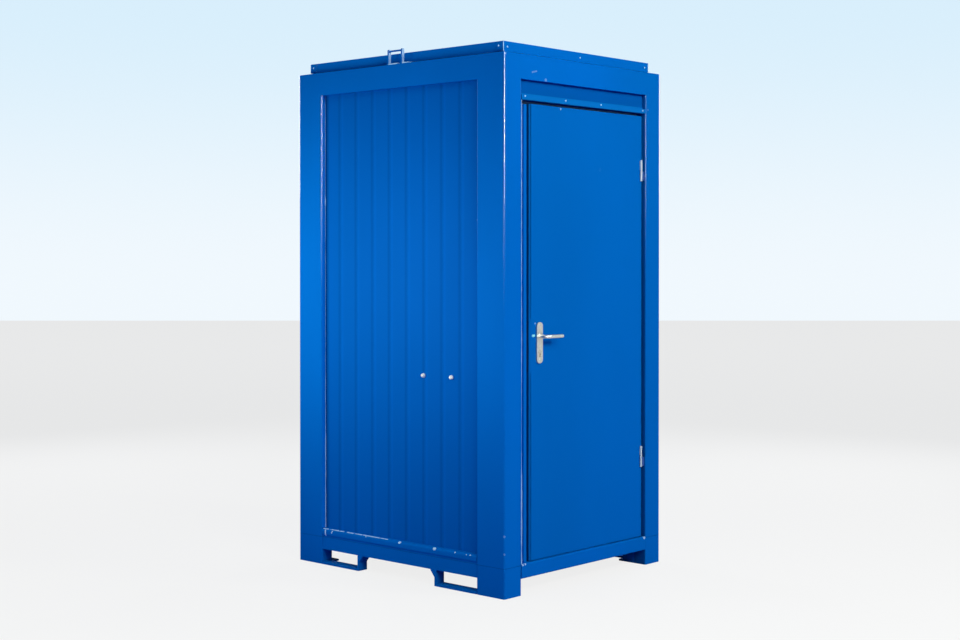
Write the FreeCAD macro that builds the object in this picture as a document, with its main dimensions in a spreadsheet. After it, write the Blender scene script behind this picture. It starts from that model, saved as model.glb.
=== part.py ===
"""Portable toilet cabin: a welded steel frame with sandwich walls, an outward door and its fittings.

Frame of the model: millimetres, +Z up, origin on the ground under the middle of the cabin. The door
is in the front, which faces -Y, and its hinges are on the +X side.
"""
import FreeCAD, Part
import math
import os

import Sketcher

vec = FreeCAD.Vector
doc = FreeCAD.newDocument("toilet_cabin")
sheet = doc.addObject("Spreadsheet::Sheet", "sizes")
sheet_row = 0


class Length:
    """A size that knows its value in millimetres and its formula in the sheet."""

    def __init__(self, value, formula):
        self.value = float(value)
        self.formula = formula

    def __add__(self, other):
        other = length(other)
        return Length(self.value + other.value, f"({self.formula} + {other.formula})")

    def __sub__(self, other):
        other = length(other)
        return Length(self.value - other.value, f"({self.formula} - {other.formula})")

    def __mul__(self, other):
        other = length(other)
        return Length(self.value * other.value, f"({self.formula} * {other.formula})")

    def __truediv__(self, other):
        other = length(other)
        return Length(self.value / other.value, f"({self.formula} / {other.formula})")

    def __neg__(self):
        return Length(-self.value, f"(0 - {self.formula})")

    def __radd__(self, other):
        return length(other) + self

    def __rsub__(self, other):
        return length(other) - self

    def __rmul__(self, other):
        return length(other) * self


def length(amount):
    """A Length as it is, or a plain number as a Length."""
    if isinstance(amount, Length):
        return amount
    return Length(amount, f"{float(amount):.9f}")


def size(alias, amount, note):
    """One driving dimension: a named cell of the sheet."""
    global sheet_row
    sheet_row += 1
    sheet.set(f"A{sheet_row}", note)
    sheet.set(f"B{sheet_row}", str(amount))
    sheet.setAlias(f"B{sheet_row}", alias)
    return Length(amount, f"sizes.{alias}")


# Overall sizes
cabin_width = size("cabin_width", 1200, "outside width of the steel frame, across the door")
cabin_depth = size("cabin_depth", 1400, "outside depth of the steel frame")
frame_height = size("frame_height", 2484, "ground to the top of the top beams")
roof_rise = size("roof_rise", 56, "roof cap's top above the top beams")

# Steel frame
post_face = size("post_face", 120, "corner post, width of its front face")
post_side = size("post_side", 172, "corner post, width of its side face")
post_wall = size("post_wall", 3, "corner post, sheet thickness")
post_round = size("post_round", 9, "corner post, outside bend radius")
foot_plate = size("foot_plate", 8, "plate that closes a post's foot")
foot_side_return = size("foot_side_return", 67, "post's foot, return beside the fork pocket")
foot_front_return = size("foot_front_return", 142, "front post's foot, return under the door")
foot_rear_return = size("foot_rear_return", 112, "rear post's foot, return under the rear wall")
beam_under = size("beam_under", 76, "ground to the underside of the base beams")
base_top = size("base_top", 143, "ground to the top of the base beams")
beam_wall = size("beam_wall", 3, "base and top beams, sheet thickness")
beam_flange = size("beam_flange", 60, "depth of the beams' flanges")
beam_round = size("beam_round", 5, "outside bend radius of the base beams")
top_beam_height = size("top_beam_height", 114, "height of the top beams")
rail_top = size("rail_top", 183, "ground to the drip rail's top edge")
rail_bend = size("rail_bend", 153, "ground to the drip rail's lower edge")
rail_round = size("rail_round", 13, "drip rail's rounded top")
rail_fall = size("rail_fall", 3, "fall of the drip rail's top")
rail_setback = size("rail_setback", 5, "beam's face behind the drip rail")
rail_flat = size("rail_flat", 4, "flat of the drip rail's top along the wall")

# Fork pockets
fork_width = size("fork_width", 260, "clear width of a fork pocket")
fork_depth = size("fork_depth", 58, "fork pocket's strap, size across the beam")
strap_thick = size("strap_thick", 12, "fork pocket's bottom strap")
cheek_thick = size("cheek_thick", 8, "fork pocket's upright plate")
gusset_reach = size("gusset_reach", 28, "fork pocket's gusset, reach along the beam")
gusset_drop = size("gusset_drop", 34, "fork pocket's gusset, height")

# Roof
roof_inset = size("roof_inset", 44, "roof cap's rim behind the frame's face")
rim_height = size("rim_height", 46, "height of the roof cap's rim")
cap_sheet = size("cap_sheet", 2, "roof cap, sheet thickness")
swage_depth = size("swage_depth", 6, "depth of the roof cap's swages")
swage_width = size("swage_width", 60, "width of the roof cap's swages")
swage_pitch = size("swage_pitch", 150, "pitch of the roof cap's swages")
swage_margin = size("swage_margin", 60, "plain margin round the swages")
tab_width = size("tab_width", 22, "roof cap's riveted corner tab")
tab_thick = size("tab_thick", 1.5, "thickness of the corner tab")
upstand_setback = size("upstand_setback", 16, "ceiling panel's edge behind the rim's face")

# Lifting brackets
bracket_span = size("bracket_span", 99, "lifting bracket, outside its two ears")
bracket_top = size("bracket_top", 74, "lifting bracket's height above the top beam")
ear_thick = size("ear_thick", 8, "lifting bracket's ear")
ear_width = size("ear_width", 16, "lifting bracket's ear across the beam")
ear_round = size("ear_round", 7, "rounding of an ear's top")
bracket_plate = size("bracket_plate", 6, "lifting bracket's feet, thickness")
ear_foot = size("ear_foot", 52, "a bracket foot's length across the beam")
ear_foot_wide = size("ear_foot_wide", 20, "a bracket foot's width")
bracket_off = size("bracket_off", 7, "lifting bracket behind the cabin's middle")
bracket_setback = size("bracket_setback", 3, "lifting bracket behind the frame's face")
lift_bar_radius = size("lift_bar_radius", 4.5, "lifting bar between the ears")
lift_bar_drop = size("lift_bar_drop", 8.5, "lifting bar's axis below the ears' tops")

# Walls, floor and ceiling
wall_recess = size("wall_recess", 25, "wall's outer sheet behind the frame's face")
wall_thick = size("wall_thick", 60, "sandwich wall, over both sheets")
outer_sheet = size("outer_sheet", 1.4, "outer sheet of walls and transom")
inner_sheet = size("inner_sheet", 0.8, "inner sheet of walls and ceiling")
rib_pitch = size("rib_pitch", 117.5, "pitch of the wall's shallow ribs")
rib_width = size("rib_width", 14, "width of a rib's groove")
rib_depth = size("rib_depth", 1.1, "depth of a rib's groove")
floor_board = size("floor_board", 18, "floor panel's top board")
floor_edge = size("floor_edge", 30, "floor panel's edge battens")
vinyl = size("vinyl", 2.5, "floor covering sheet")

# Doorway
leaf_recess = size("leaf_recess", 16, "door leaf's face behind the frame's face")
leaf_sheet = size("leaf_sheet", 1, "door leaf, sheet thickness")
leaf_thick = size("leaf_thick", 44, "door leaf, thickness")
lock_edge_gap = size("lock_edge_gap", 74, "lock-side post to the door leaf's edge")
hinge_edge_gap = size("hinge_edge_gap", 8, "hinge-side post to the door leaf's edge")
leaf_foot_gap = size("leaf_foot_gap", 4, "gap under the door leaf")
leaf_head_gap = size("leaf_head_gap", 14, "gap over the door leaf")
leaf_bevel_wide = size("leaf_bevel_wide", 11, "bevel of the leaf's upright edges, across")
leaf_bevel_deep = size("leaf_bevel_deep", 5, "bevel of the leaf's upright edges, depth")
transom_height = size("transom_height", 94, "transom panel's height")
transom_recess = size("transom_recess", 24, "transom panel behind the frame's face")
transom_thick = size("transom_thick", 60, "transom panel's thickness")
jamb_sheet = size("jamb_sheet", 2, "door frame, sheet thickness")
jamb_inside = size("jamb_inside", 100, "door frame's inner face behind the frame's face")
stop_gap = size("stop_gap", 6, "gap between the leaf and the frame's stops, for the seal")
nose_outer_gap = size("nose_outer_gap", 32, "lock-side post to the lock jamb's nose")
nose_width = size("nose_width", 20, "lock jamb's nose, width")
nose_drop = size("nose_drop", 4, "lock jamb's nose ends under the leaf's top")
jamb_step = size("jamb_step", 30, "depth of the cut over the lock jamb's nose")
cheek_gap = size("cheek_gap", 16, "lock jamb's cheek to the leaf's edge")
lock_overlap = size("lock_overlap", 21, "leaf's overlap on the lock-side stop")
hinge_stop_gap = size("hinge_stop_gap", 55, "hinge-side post to the hinge-side stop's edge")
head_drop = size("head_drop", 28, "door head's height under the transom")
seal_width = size("seal_width", 10, "door seal's width")
seal_inset = size("seal_inset", 4, "door seal behind the stop's inner edge")
hinge_seal_inset = size("hinge_seal_inset", 0.5, "the same at the hinges, clear of the leaf's corner")
seal_clear = size("seal_clear", 0.3, "gap between the seal and the closed leaf")
ledge_top = size("ledge_top", 22, "drip ledge's shelf above the transom's foot")
ledge_leg = size("ledge_leg", 18, "drip ledge's upper leg on the transom")
ledge_sheet = size("ledge_sheet", 2, "drip ledge, sheet thickness")

# Hinges
hinge_axis_gap = size("hinge_axis_gap", 26, "hinge-side post to the hinge axis")
barrel_radius = size("barrel_radius", 5.5, "hinge barrel")
barrel_length = size("barrel_length", 52, "one hinge barrel's length")
barrel_gap = size("barrel_gap", 1, "gap between the two barrels of a hinge")
pin_radius = size("pin_radius", 3.5, "hinge pin")
running_gap = size("running_gap", 0.05, "radial clearance of a pin or shaft in its hole")
upper_hinge = size("upper_hinge", 1935.5, "ground to the upper hinge's foot")
lower_hinge = size("lower_hinge", 497, "ground to the lower hinge's foot")
lug_width = size("lug_width", 8, "weld lug of a hinge barrel")

# Lock and levers
lever_height = size("lever_height", 1185, "ground to the lever's axis")
backset = size("backset", 66, "lever's axis in from the leaf's lock edge")
cylinder_drop = size("cylinder_drop", 72, "lock cylinder's axis below the lever's")
plate_width = size("plate_width", 42, "handle plate's width")
plate_thick = size("plate_thick", 8, "handle plate's thickness")
plate_above = size("plate_above", 66, "handle plate's top above the lever's axis")
plate_below = size("plate_below", 125, "handle plate's foot below the lever's axis")
plate_round = size("plate_round", 19, "rounding of the handle plate's ends")
lever_radius = size("lever_radius", 9, "lever's round bar")
lever_reach = size("lever_reach", 113, "lever's tip from its axis")
lever_stand = size("lever_stand", 49, "lever bar's axis out from the plate")
lever_bend = size("lever_bend", 18, "lever bar's bend radius")
spindle_side = size("spindle_side", 8, "square spindle")
spindle_hole = size("spindle_hole", 6.5, "radius of the clear hole round the spindle")
case_depth = size("case_depth", 88, "lock case, in from the leaf's edge")
case_thick = size("case_thick", 16, "lock case, thickness")
case_wall = size("case_wall", 1.5, "lock case, sheet thickness")
case_above = size("case_above", 45, "lock case's top above the lever's axis")
case_below = size("case_below", 135, "lock case's foot below the lever's axis")
forend_width = size("forend_width", 20, "forend plate's width")
forend_thick = size("forend_thick", 3, "forend plate's thickness")
forend_reach = size("forend_reach", 28, "forend plate past the case, at each end")
bolt_thick = size("bolt_thick", 12, "latch and dead bolt, thickness")
bolt_height = size("bolt_height", 28, "latch and dead bolt, height")
bolt_clear = size("bolt_clear", 0.2, "clearance of a bolt in the forend's slot")
latch_throw = size("latch_throw", 12, "latch bolt out of the forend")
latch_length = size("latch_length", 34, "latch bolt's whole length")
dead_throw = size("dead_throw", 20, "dead bolt's travel")
dead_length = size("dead_length", 42, "dead bolt's whole length")
dead_drop = size("dead_drop", 62, "dead bolt's middle below the lever's axis")
cylinder_radius = size("cylinder_radius", 8.5, "lock cylinder's round part")
cylinder_web = size("cylinder_web", 9, "lock cylinder's web width")
cylinder_tall = size("cylinder_tall", 33, "lock cylinder's overall height")
cylinder_proud = size("cylinder_proud", 2, "lock cylinder out of the handle plate")
plug_radius = size("plug_radius", 6.5, "plug that turns in the lock cylinder")
knob_radius = size("knob_radius", 14, "thumb-turn's disc")
knob_stand = size("knob_stand", 24, "thumb-turn's height over the inner plate")

# Toilet
rim_above = size("rim_above", 400, "toilet pan's rim above the floor")
pan_half = size("pan_half", 180, "half the pan's width at the rim")
pan_long = size("pan_long", 668, "pan's length")
pan_gap = size("pan_gap", 15, "pan's back to the rear wall")
bowl_from_back = size("bowl_from_back", 450, "pan's back to the middle of the bowl")
bowl_half = size("bowl_half", 122, "half the bowl opening's width")
bowl_long = size("bowl_long", 162, "half the bowl opening's length")
bowl_deep = size("bowl_deep", 215, "depth of the bowl")
pan_wall = size("pan_wall", 13, "pan's wall round its hollow casting")
seat_thick = size("seat_thick", 18, "seat ring's thickness")
lid_thick = size("lid_thick", 14, "lid's thickness")
seat_gap = size("seat_gap", 0.3, "gap between pan and seat, and seat and lid")
seat_from_back = size("seat_from_back", 215, "pan's back to the seat hinge's axis")
seat_axis_up = size("seat_axis_up", 16, "seat hinge's axis above the rim")
seat_pin = size("seat_pin", 5, "seat hinge's pin radius")
seat_post_in = size("seat_post_in", 70, "seat hinge's post, from the middle")
seat_post_wide = size("seat_post_wide", 16, "seat hinge's post, width")
seat_post_half = size("seat_post_half", 12, "seat hinge's post, half its depth")
seat_pin_in = size("seat_pin_in", 29, "seat pin's inner end, from the middle")
seat_knuckle_in = size("seat_knuckle_in", 50, "seat's knuckles, from the middle")
lid_knuckle_in = size("lid_knuckle_in", 31, "lid's knuckles, from the middle")
knuckle_wide = size("knuckle_wide", 15, "seat's and lid's knuckles, width")
edge_setback = size("edge_setback", 25, "seat's and lid's back edge, in front of the axis")
knuckle_radius = size("knuckle_radius", 9, "seat hinge's knuckle radius")
lid_open = size("lid_open", 93.5, "lid's angle when it is up, in degrees")
tank_width = size("tank_width", 380, "cistern's width")
tank_deep = size("tank_deep", 180, "cistern's depth")
tank_high = size("tank_high", 370, "cistern's height without its lid")
tank_wall = size("tank_wall", 9, "cistern's wall")
tank_lid = size("tank_lid", 26, "cistern lid's thickness")
tank_lid_over = size("tank_lid_over", 4, "cistern lid's overhang")
tank_back_gap = size("tank_back_gap", 2, "cistern's gap to the rear wall")
button_radius = size("button_radius", 20, "flush button's radius")
button_proud = size("button_proud", 6, "flush button out of the lid")
soil_radius = size("soil_radius", 55, "soil pipe's outside radius")
soil_wall = size("soil_wall", 4, "soil pipe's wall")
socket_deep = size("socket_deep", 42, "depth of the soil pipe's outer socket")
soil_above = size("soil_above", 180, "soil pipe's axis above the floor")

# Hand basin
basin_middle = size("basin_middle", 258.5, "basin's middle, in front of the cabin's middle")
basin_rim = size("basin_rim", 1030, "ground to the basin's rim")
basin_wide = size("basin_wide", 400, "basin's width along the wall")
basin_out = size("basin_out", 290, "basin's reach from the wall")
basin_high = size("basin_high", 135, "basin's height")
basin_shelf = size("basin_shelf", 85, "basin's tap shelf")
basin_wall = size("basin_wall", 14, "basin's wall")
basin_bolt_gap = size("basin_bolt_gap", 183, "distance between the basin's two bolts")
basin_bolt_up = size("basin_bolt_up", 990, "ground to the basin's bolts")
basin_bolt = size("basin_bolt", 5, "basin bolt's radius")
dome_radius = size("dome_radius", 9.5, "domed nut outside the wall")
waste_radius = size("waste_radius", 16, "waste pipe's radius")
waste_flange = size("waste_flange", 30, "waste flange's radius in the bowl")
trap_radius = size("trap_radius", 32, "bottle trap's radius")
trap_high = size("trap_high", 92, "bottle trap's height")
trap_drop = size("trap_drop", 170, "bottle trap's foot under the basin")
trap_arm_drop = size("trap_arm_drop", 100, "trap's outlet under the basin")
tap_tail = size("tap_tail", 8, "radius of the tap's hole in the basin")
tap_radius = size("tap_radius", 20, "tap body's radius")
tap_high = size("tap_high", 78, "tap body's height")
tap_stem = size("tap_stem", 5, "tap lever's spindle in the body")

# Small fittings
mirror_wide = size("mirror_wide", 400, "mirror's width")
mirror_high = size("mirror_high", 500, "mirror's height")
mirror_thick = size("mirror_thick", 4, "mirror's thickness")
mirror_up = size("mirror_up", 1230, "ground to the mirror's foot")
roll_radius = size("roll_radius", 52, "paper roll's radius")
roll_core = size("roll_core", 20, "paper roll's core radius")
roll_wide = size("roll_wide", 98, "paper roll's width")
roll_up = size("roll_up", 860, "ground to the paper roll's axis")
roll_back = size("roll_back", 60, "paper roll's middle in front of the cabin's middle")
lamp_radius = size("lamp_radius", 130, "ceiling light's radius")
lamp_deep = size("lamp_deep", 62, "ceiling light's depth")
switch_side = size("switch_side", 80, "switch box's side")
switch_deep = size("switch_deep", 14, "switch box's depth")
switch_up = size("switch_up", 1200, "ground to the switch's middle")
switch_back = size("switch_back", 440, "switch's middle in front of the cabin's middle")
rocker_tilt = size("rocker_tilt", 4, "rocker's tilt at rest, in degrees")

# Planes that several pieces share
half_width = cabin_width / 2
half_depth = cabin_depth / 2
front = -half_depth
door_left = -(half_width - post_face)
door_right = half_width - post_face
side_half = half_depth - post_side
leaf_lock_edge = door_right - lock_edge_gap
leaf_hinge_edge = door_right - hinge_edge_gap
nose_outer = door_right - nose_outer_gap
nose_inner = nose_outer - nose_width
jamb_cheek = leaf_lock_edge + cheek_gap
lock_stop = leaf_lock_edge - lock_overlap
hinge_stop = door_right - hinge_stop_gap
hinge_axis_right = door_right - hinge_axis_gap
top_under = frame_height - top_beam_height
roof_top = frame_height + roof_rise
deck_under = roof_top - swage_depth - cap_sheet
wall_face = half_width - wall_recess
wall_in = wall_face - wall_thick
rear_face = half_depth - wall_recess
rear_in = rear_face - wall_thick
pan_back = rear_in - pan_gap
pan_nose = pan_back - pan_long
bowl_centre = pan_back - bowl_from_back
seat_axis_back = pan_back - seat_from_back
transom_foot = top_under - transom_height
leaf_face = front + leaf_recess
leaf_back = leaf_face + leaf_thick
stop_face = leaf_back + stop_gap
jamb_back = front + jamb_inside
leaf_foot = base_top + leaf_foot_gap
leaf_head = transom_foot - leaf_head_gap
floor_top = base_top + vinyl
lever_x = backset - leaf_lock_edge
leaf_middle = leaf_face + leaf_thick / 2

nodes = {}
AXES = {"x": 0, "y": 1, "z": 2}
PLANES = {"XY": ("XY_Plane", 2, False), "XZ": ("XZ_Plane", 1, True), "YZ": ("YZ_Plane", 0, False)}


def bind(item, prop, amount):
    """Tie one property of an object to a size."""
    item.setExpression(prop, length(amount).formula)


def place(item, corner):
    """Tie an object's position to three sizes."""
    for name, amount in zip("xyz", corner):
        bind(item, f".Placement.Base.{name}", amount)


def keep(item, node):
    """Name the finished object of one sub-part."""
    item.Label = node
    nodes[node] = item
    return item


def block(label, low, high):
    """A box between two opposite corners."""
    item = doc.addObject("Part::Box", label)
    for prop, a, b in zip(("Length", "Width", "Height"), low, high):
        bind(item, prop, length(b) - length(a))
    place(item, low)
    return item


def rod(label, foot, axis, radius, long):
    """A cylinder from its foot's centre along one axis."""
    item = doc.addObject("Part::Cylinder", label)
    turns = {"x": FreeCAD.Rotation(vec(0, 1, 0), 90), "y": FreeCAD.Rotation(vec(1, 0, 0), -90),
             "z": FreeCAD.Rotation()}
    item.Placement = FreeCAD.Placement(vec(), turns[axis])
    bind(item, "Radius", radius)
    bind(item, "Height", long)
    place(item, foot)
    return item


def join(label, parts):
    """Several solids fused into one."""
    item = doc.addObject("Part::MultiFuse", label)
    item.Shapes = parts
    item.Refine = True
    return item


def cut(label, base, tools):
    """A solid with other solids taken out of it."""
    tool = tools[0] if len(tools) == 1 else join(f"{label}_tools", tools)
    item = doc.addObject("Part::Cut", label)
    item.Base = base
    item.Tool = tool
    return item


def group(label, parts):
    """Separate solids that share one sub-part."""
    item = doc.addObject("Part::Compound", label)
    item.Links = parts
    return item


def prism(label, plane, outline, start, end, rounds=()):
    """A body padded from a sketch; rounds lists (corner index, radius) of its outline."""
    role, axis, flip = PLANES[plane]
    body = doc.addObject("PartDesign::Body", label)
    sketch = body.newObject("Sketcher::SketchObject", f"{label}_sketch")
    support = [part for part in body.Origin.OriginFeatures if part.Role == role]
    sketch.AttachmentSupport = [(support[0], "")]
    sketch.MapMode = "FlatFace"
    corners = [(length(u), length(v)) for u, v in outline]
    count = len(corners)
    for index, (u, v) in enumerate(corners):
        after = corners[(index + 1) % count]
        line = Part.LineSegment(vec(u.value, v.value, 0), vec(after[0].value, after[1].value, 0))
        sketch.addGeometry(line, False)
    for index in range(count):
        sketch.addConstraint(Sketcher.Constraint("Coincident", index, 2, (index + 1) % count, 1))
    for index, (u, v) in enumerate(corners):
        for kind, amount in (("DistanceX", u), ("DistanceY", v)):
            number = sketch.addConstraint(Sketcher.Constraint(kind, -1, 1, index, 1, amount.value))
            sketch.renameConstraint(number, f"{kind}{index}")
            sketch.setExpression(f"Constraints.{kind}{index}", amount.formula)
    pad = body.newObject("PartDesign::Pad", f"{label}_pad")
    pad.Profile = sketch
    pad.Reversed = flip
    bind(pad, "Length", length(end) - length(start))
    if rounds:
        doc.recompute()
        last = pad
        for number, radius in enumerate(sorted({radius.value for _, radius in rounds})):
            chosen = [corners[index] for index, r in rounds if r.value == radius]
            bound = [r for _, r in rounds if r.value == radius][0]
            names = upright_edges(last.Shape, axis, chosen)
            fillet = body.newObject("PartDesign::Fillet", f"{label}_round{number}")
            fillet.Base = (last, names)
            fillet.Radius = bound.value
            bind(fillet, "Radius", bound)
            doc.recompute()
            last = fillet
    bind(body, ".Placement.Base." + "xyz"[axis], start)
    return body


def upright_edges(shape, axis, corners):
    """Names of the straight edges that run along an axis through the given outline corners."""
    across = [index for index in range(3) if index != axis]
    names = []
    for number, edge in enumerate(shape.Edges, start=1):
        ends = [vertex.Point for vertex in edge.Vertexes]
        if len(ends) != 2 or abs(ends[0][axis] - ends[1][axis]) < 1e-6:
            continue
        for u, v in corners:
            if all(abs(p[across[0]] - u.value) < 1e-4 and abs(p[across[1]] - v.value) < 1e-4
                   for p in ends):
                names.append(f"Edge{number}")
    return names


def folded(label, plane, path, sheet_thick, start, end, rounds=()):
    """A sheet folded along a path, with the metal on the path's left; rounds are path indices."""
    points = [(length(u), length(v)) for u, v in path]
    normals = []
    for (u0, v0), (u1, v1) in zip(points, points[1:]):
        run, rise = u1.value - u0.value, v1.value - v0.value
        long = math.hypot(run, rise)
        normals.append((-rise / long, run / long))
    inner = []
    for index, (u, v) in enumerate(points):
        before = normals[max(index - 1, 0)]
        after = normals[min(index, len(normals) - 1)]
        share = 1 + before[0] * after[0] + before[1] * after[1]
        step = ((before[0] + after[0]) / share, (before[1] + after[1]) / share)
        inner.append((u + sheet_thick * step[0], v + sheet_thick * step[1]))
    return prism(label, plane, points + inner[::-1], start, end, rounds)


def mirrored(path):
    """A path on the other side of the middle plane, run the other way round."""
    return [(-u, v) for u, v in reversed([(length(u), length(v)) for u, v in path])]


def shaped(label, shape):
    """A free-form sub-part whose shape is worked out from the sheet's values."""
    item = doc.addObject("Part::Feature", label)
    item.Shape = shape
    return item


def side_sign(side):
    return {"left": -1, "right": 1, "front": -1, "rear": 1}[side]


def between(sign, near, far):
    """The low and high place of a stretch at near to far on one side of the middle."""
    return (near, far) if sign > 0 else (-far, -near)


def corner_posts():
    """Folded box posts that run from the ground to the top frame and carry the cabin's feet."""
    for end in ("front", "rear"):
        for side in ("left", "right"):
            x0, x1 = between(side_sign(side), half_width - post_face, half_width)
            y0, y1 = between(side_sign(end), side_half, half_depth)
            name = f"post_{end}_{side}"
            outline = [(x0, y0), (x1, y0), (x1, y1), (x0, y1)]
            rounds = [(index, post_round) for index in range(4)]
            skin = prism(f"{name}_skin", "XY", outline, 0, top_under, rounds)
            room = block(f"{name}_room", (x0 + post_wall, y0 + post_wall, foot_plate),
                         (x1 - post_wall, y1 - post_wall, top_under + 1))
            back = foot_front_return if end == "front" else foot_rear_return
            a0, a1 = between(side_sign(side), half_width - post_face - 1,
                             half_width - foot_side_return)
            b0, b1 = between(side_sign(end), side_half - 1, half_depth - back)
            corner = block(f"{name}_foot_corner", (a0, b0, foot_plate),
                           (a1, b1, beam_under + beam_wall))
            keep(cut(f"{name}_post", skin, [room, corner]), name)


def base_beams():
    """The front beam is a plain channel and sill; the others carry the wall's drip rail."""
    channel = [(front + beam_flange, base_top), (front, base_top), (front, beam_under),
               (front + beam_flange, beam_under)]
    rounds = [(1, beam_round), (2, beam_round)]
    beam = folded("front_beam", "YZ", channel, beam_wall, door_left, door_right, rounds)
    keep(beam, "base_beam_front")
    for side, half, start, end, plane in (("left", half_width, -side_half, side_half, "XZ"),
                                          ("right", half_width, -side_half, side_half, "XZ"),
                                          ("rear", half_depth, door_left, door_right, "YZ")):
        face = half - wall_recess
        beam_face = half - rail_setback
        path = [(-face, rail_top), (-(face + rail_flat), rail_top),
                (-half, rail_top - rail_fall), (-half, rail_bend),
                (-beam_face, base_top), (-beam_face, beam_under),
                (-(half - beam_flange), beam_under)]
        if side != "left":
            path = mirrored(path)
        outer_bend = 2 if side == "left" else len(path) - 3
        inner_bend = len(path) * 2 - 1 - outer_bend
        beam = folded(f"{side}_beam", plane, path, beam_wall, start, end,
                      [(outer_bend, rail_round), (inner_bend, rail_round - beam_wall)])
        keep(beam, f"base_beam_{side}")


def fork_pockets():
    """Two welded straps with gusseted cheeks under each side beam."""
    for side in ("left", "right"):
        x0, x1 = between(side_sign(side), half_width - fork_depth, half_width)
        inner = side_half - fork_width
        outline = [(-side_half, length(0)), (-(inner - cheek_thick), length(0)),
                   (-(inner - cheek_thick), beam_under - gusset_drop),
                   (-(inner - cheek_thick - gusset_reach), beam_under), (-inner, beam_under),
                   (-inner, strap_thick), (-side_half, strap_thick)]
        straps = [prism(f"{side}_front_strap", "YZ", outline, x0, x1),
                  prism(f"{side}_rear_strap", "YZ", mirrored(outline), x0, x1)]
        keep(group(f"{side}_straps", straps), f"fork_pockets_{side}")


def top_beams():
    """The front and rear beams turn the corners; the side beams stand between them."""
    for end in ("front", "rear"):
        y0, y1 = between(side_sign(end), half_depth - beam_flange, half_depth)
        outline = [(-half_width, y0), (half_width, y0), (half_width, y1), (-half_width, y1)]
        outer = (0, 1) if end == "front" else (2, 3)
        skin = prism(f"{end}_top_skin", "XY", outline, top_under, frame_height,
                     [(index, post_round) for index in outer])
        web_in = half_depth - beam_wall
        r0, r1 = between(side_sign(end), half_depth - beam_flange - 1, web_in)
        room = block(f"{end}_top_room", (beam_wall - half_width, r0, top_under + beam_wall),
                     (half_width - beam_wall, r1, frame_height - beam_wall))
        keep(cut(f"{end}_top_beam", skin, [room]), f"top_beam_{end}")
    inner = half_width - beam_flange
    path = [(-inner, frame_height), (-half_width, frame_height), (-half_width, top_under),
            (-inner, top_under)]
    reach = half_depth - beam_flange
    for side in ("left", "right"):
        run = path if side == "left" else mirrored(path)
        keep(folded(f"{side}_top_beam", "XZ", run, beam_wall, -reach, reach), f"top_beam_{side}")


def roof():
    """A folded tray with swages across its top and tabs that wrap its corners."""
    half_x = half_width - roof_inset
    half_y = half_depth - roof_inset
    rim_foot = roof_top - rim_height
    shell = block("cap_block", (-half_x, -half_y, rim_foot), (half_x, half_y, roof_top))
    room = block("cap_room", (cap_sheet - half_x, cap_sheet - half_y, rim_foot - 1),
                 (half_x - cap_sheet, half_y - cap_sheet, deck_under))
    crown = block("cap_crown", (cap_sheet - half_x, cap_sheet - half_y, deck_under - 1),
                  (half_x - cap_sheet, half_y - cap_sheet, roof_top - cap_sheet))
    reach = half_x - swage_margin
    rows = int((half_y.value - swage_margin.value - swage_width.value / 2) / swage_pitch.value)
    grooves = []
    floors = []
    for row in range(-rows, rows + 1):
        y = swage_pitch * row
        edge = swage_width / 2 + cap_sheet
        floors.append(block(f"swage_under_{row + rows}", (-reach - cap_sheet, y - edge, rim_foot),
                            (reach + cap_sheet, y + edge, roof_top)))
        outline = [(y - swage_width / 2, roof_top + 1), (y - swage_width / 2, roof_top),
                   (y - swage_width / 2 + swage_depth, roof_top - swage_depth),
                   (y + swage_width / 2 - swage_depth, roof_top - swage_depth),
                   (y + swage_width / 2, roof_top), (y + swage_width / 2, roof_top + 1)]
        grooves.append(prism(f"swage_{row + rows}", "YZ", outline, -reach, reach))
    tabs = []
    for end in ("front", "rear"):
        y0, y1 = between(side_sign(end), half_y - tab_width, half_y)
        for side in ("left", "right"):
            x0, x1 = between(side_sign(side), half_x, half_x + tab_thick)
            tabs.append(block(f"tab_{end}_{side}", (x0, y0, rim_foot), (x1, y1, roof_top)))
    hollow = cut("cap_hollow", crown, floors)
    tray = cut("cap_tray", shell, [room, hollow] + grooves)
    keep(join("cap_with_tabs", [tray] + tabs), "roof_cap")

    edge_x = half_x - upstand_setback
    edge_y = half_y - upstand_setback
    panel = block("ceiling_block", (-edge_x, -edge_y, top_under),
                  (edge_x, edge_y, deck_under))
    void = block("ceiling_void",
                 (inner_sheet - edge_x, inner_sheet - edge_y, top_under + inner_sheet),
                 (edge_x - inner_sheet, edge_y - inner_sheet, deck_under - inner_sheet))
    keep(cut("ceiling", panel, [void]), "ceiling_panel")


def lifting_brackets():
    """Two upright ears with a bar between them, on feet on the side beams."""
    for side in ("left", "right"):
        sign = side_sign(side)
        outer = half_width - bracket_setback
        x0, x1 = between(sign, outer - ear_width, outer)
        plate_top = frame_height + bracket_plate
        top = frame_height + bracket_top
        pieces = []
        outline = [(x0, plate_top), (x1, plate_top), (x1, top), (x0, top)]
        y0, y1 = bracket_off - bracket_span / 2, bracket_off + bracket_span / 2
        f0, f1 = between(sign, outer - ear_foot, outer)
        for name, low, high in (("a", y0, y0 + ear_thick), ("b", y1 - ear_thick, y1)):
            pieces.append(prism(f"{side}_ear_{name}", "XZ", outline, low, high,
                                [(2, ear_round), (3, ear_round)]))
            spare = (ear_foot_wide - ear_thick) / 2
            pieces.append(block(f"{side}_foot_{name}", (f0, low - spare, frame_height),
                                (f1, high + spare, plate_top)))
        middle = (x0 + x1) / 2
        pieces.append(rod(f"{side}_lift_bar", (middle, y0, top - lift_bar_drop),
                          "y", lift_bar_radius, bracket_span))
        keep(join(f"{side}_bracket", pieces), f"lifting_bracket_{side}")


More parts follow.
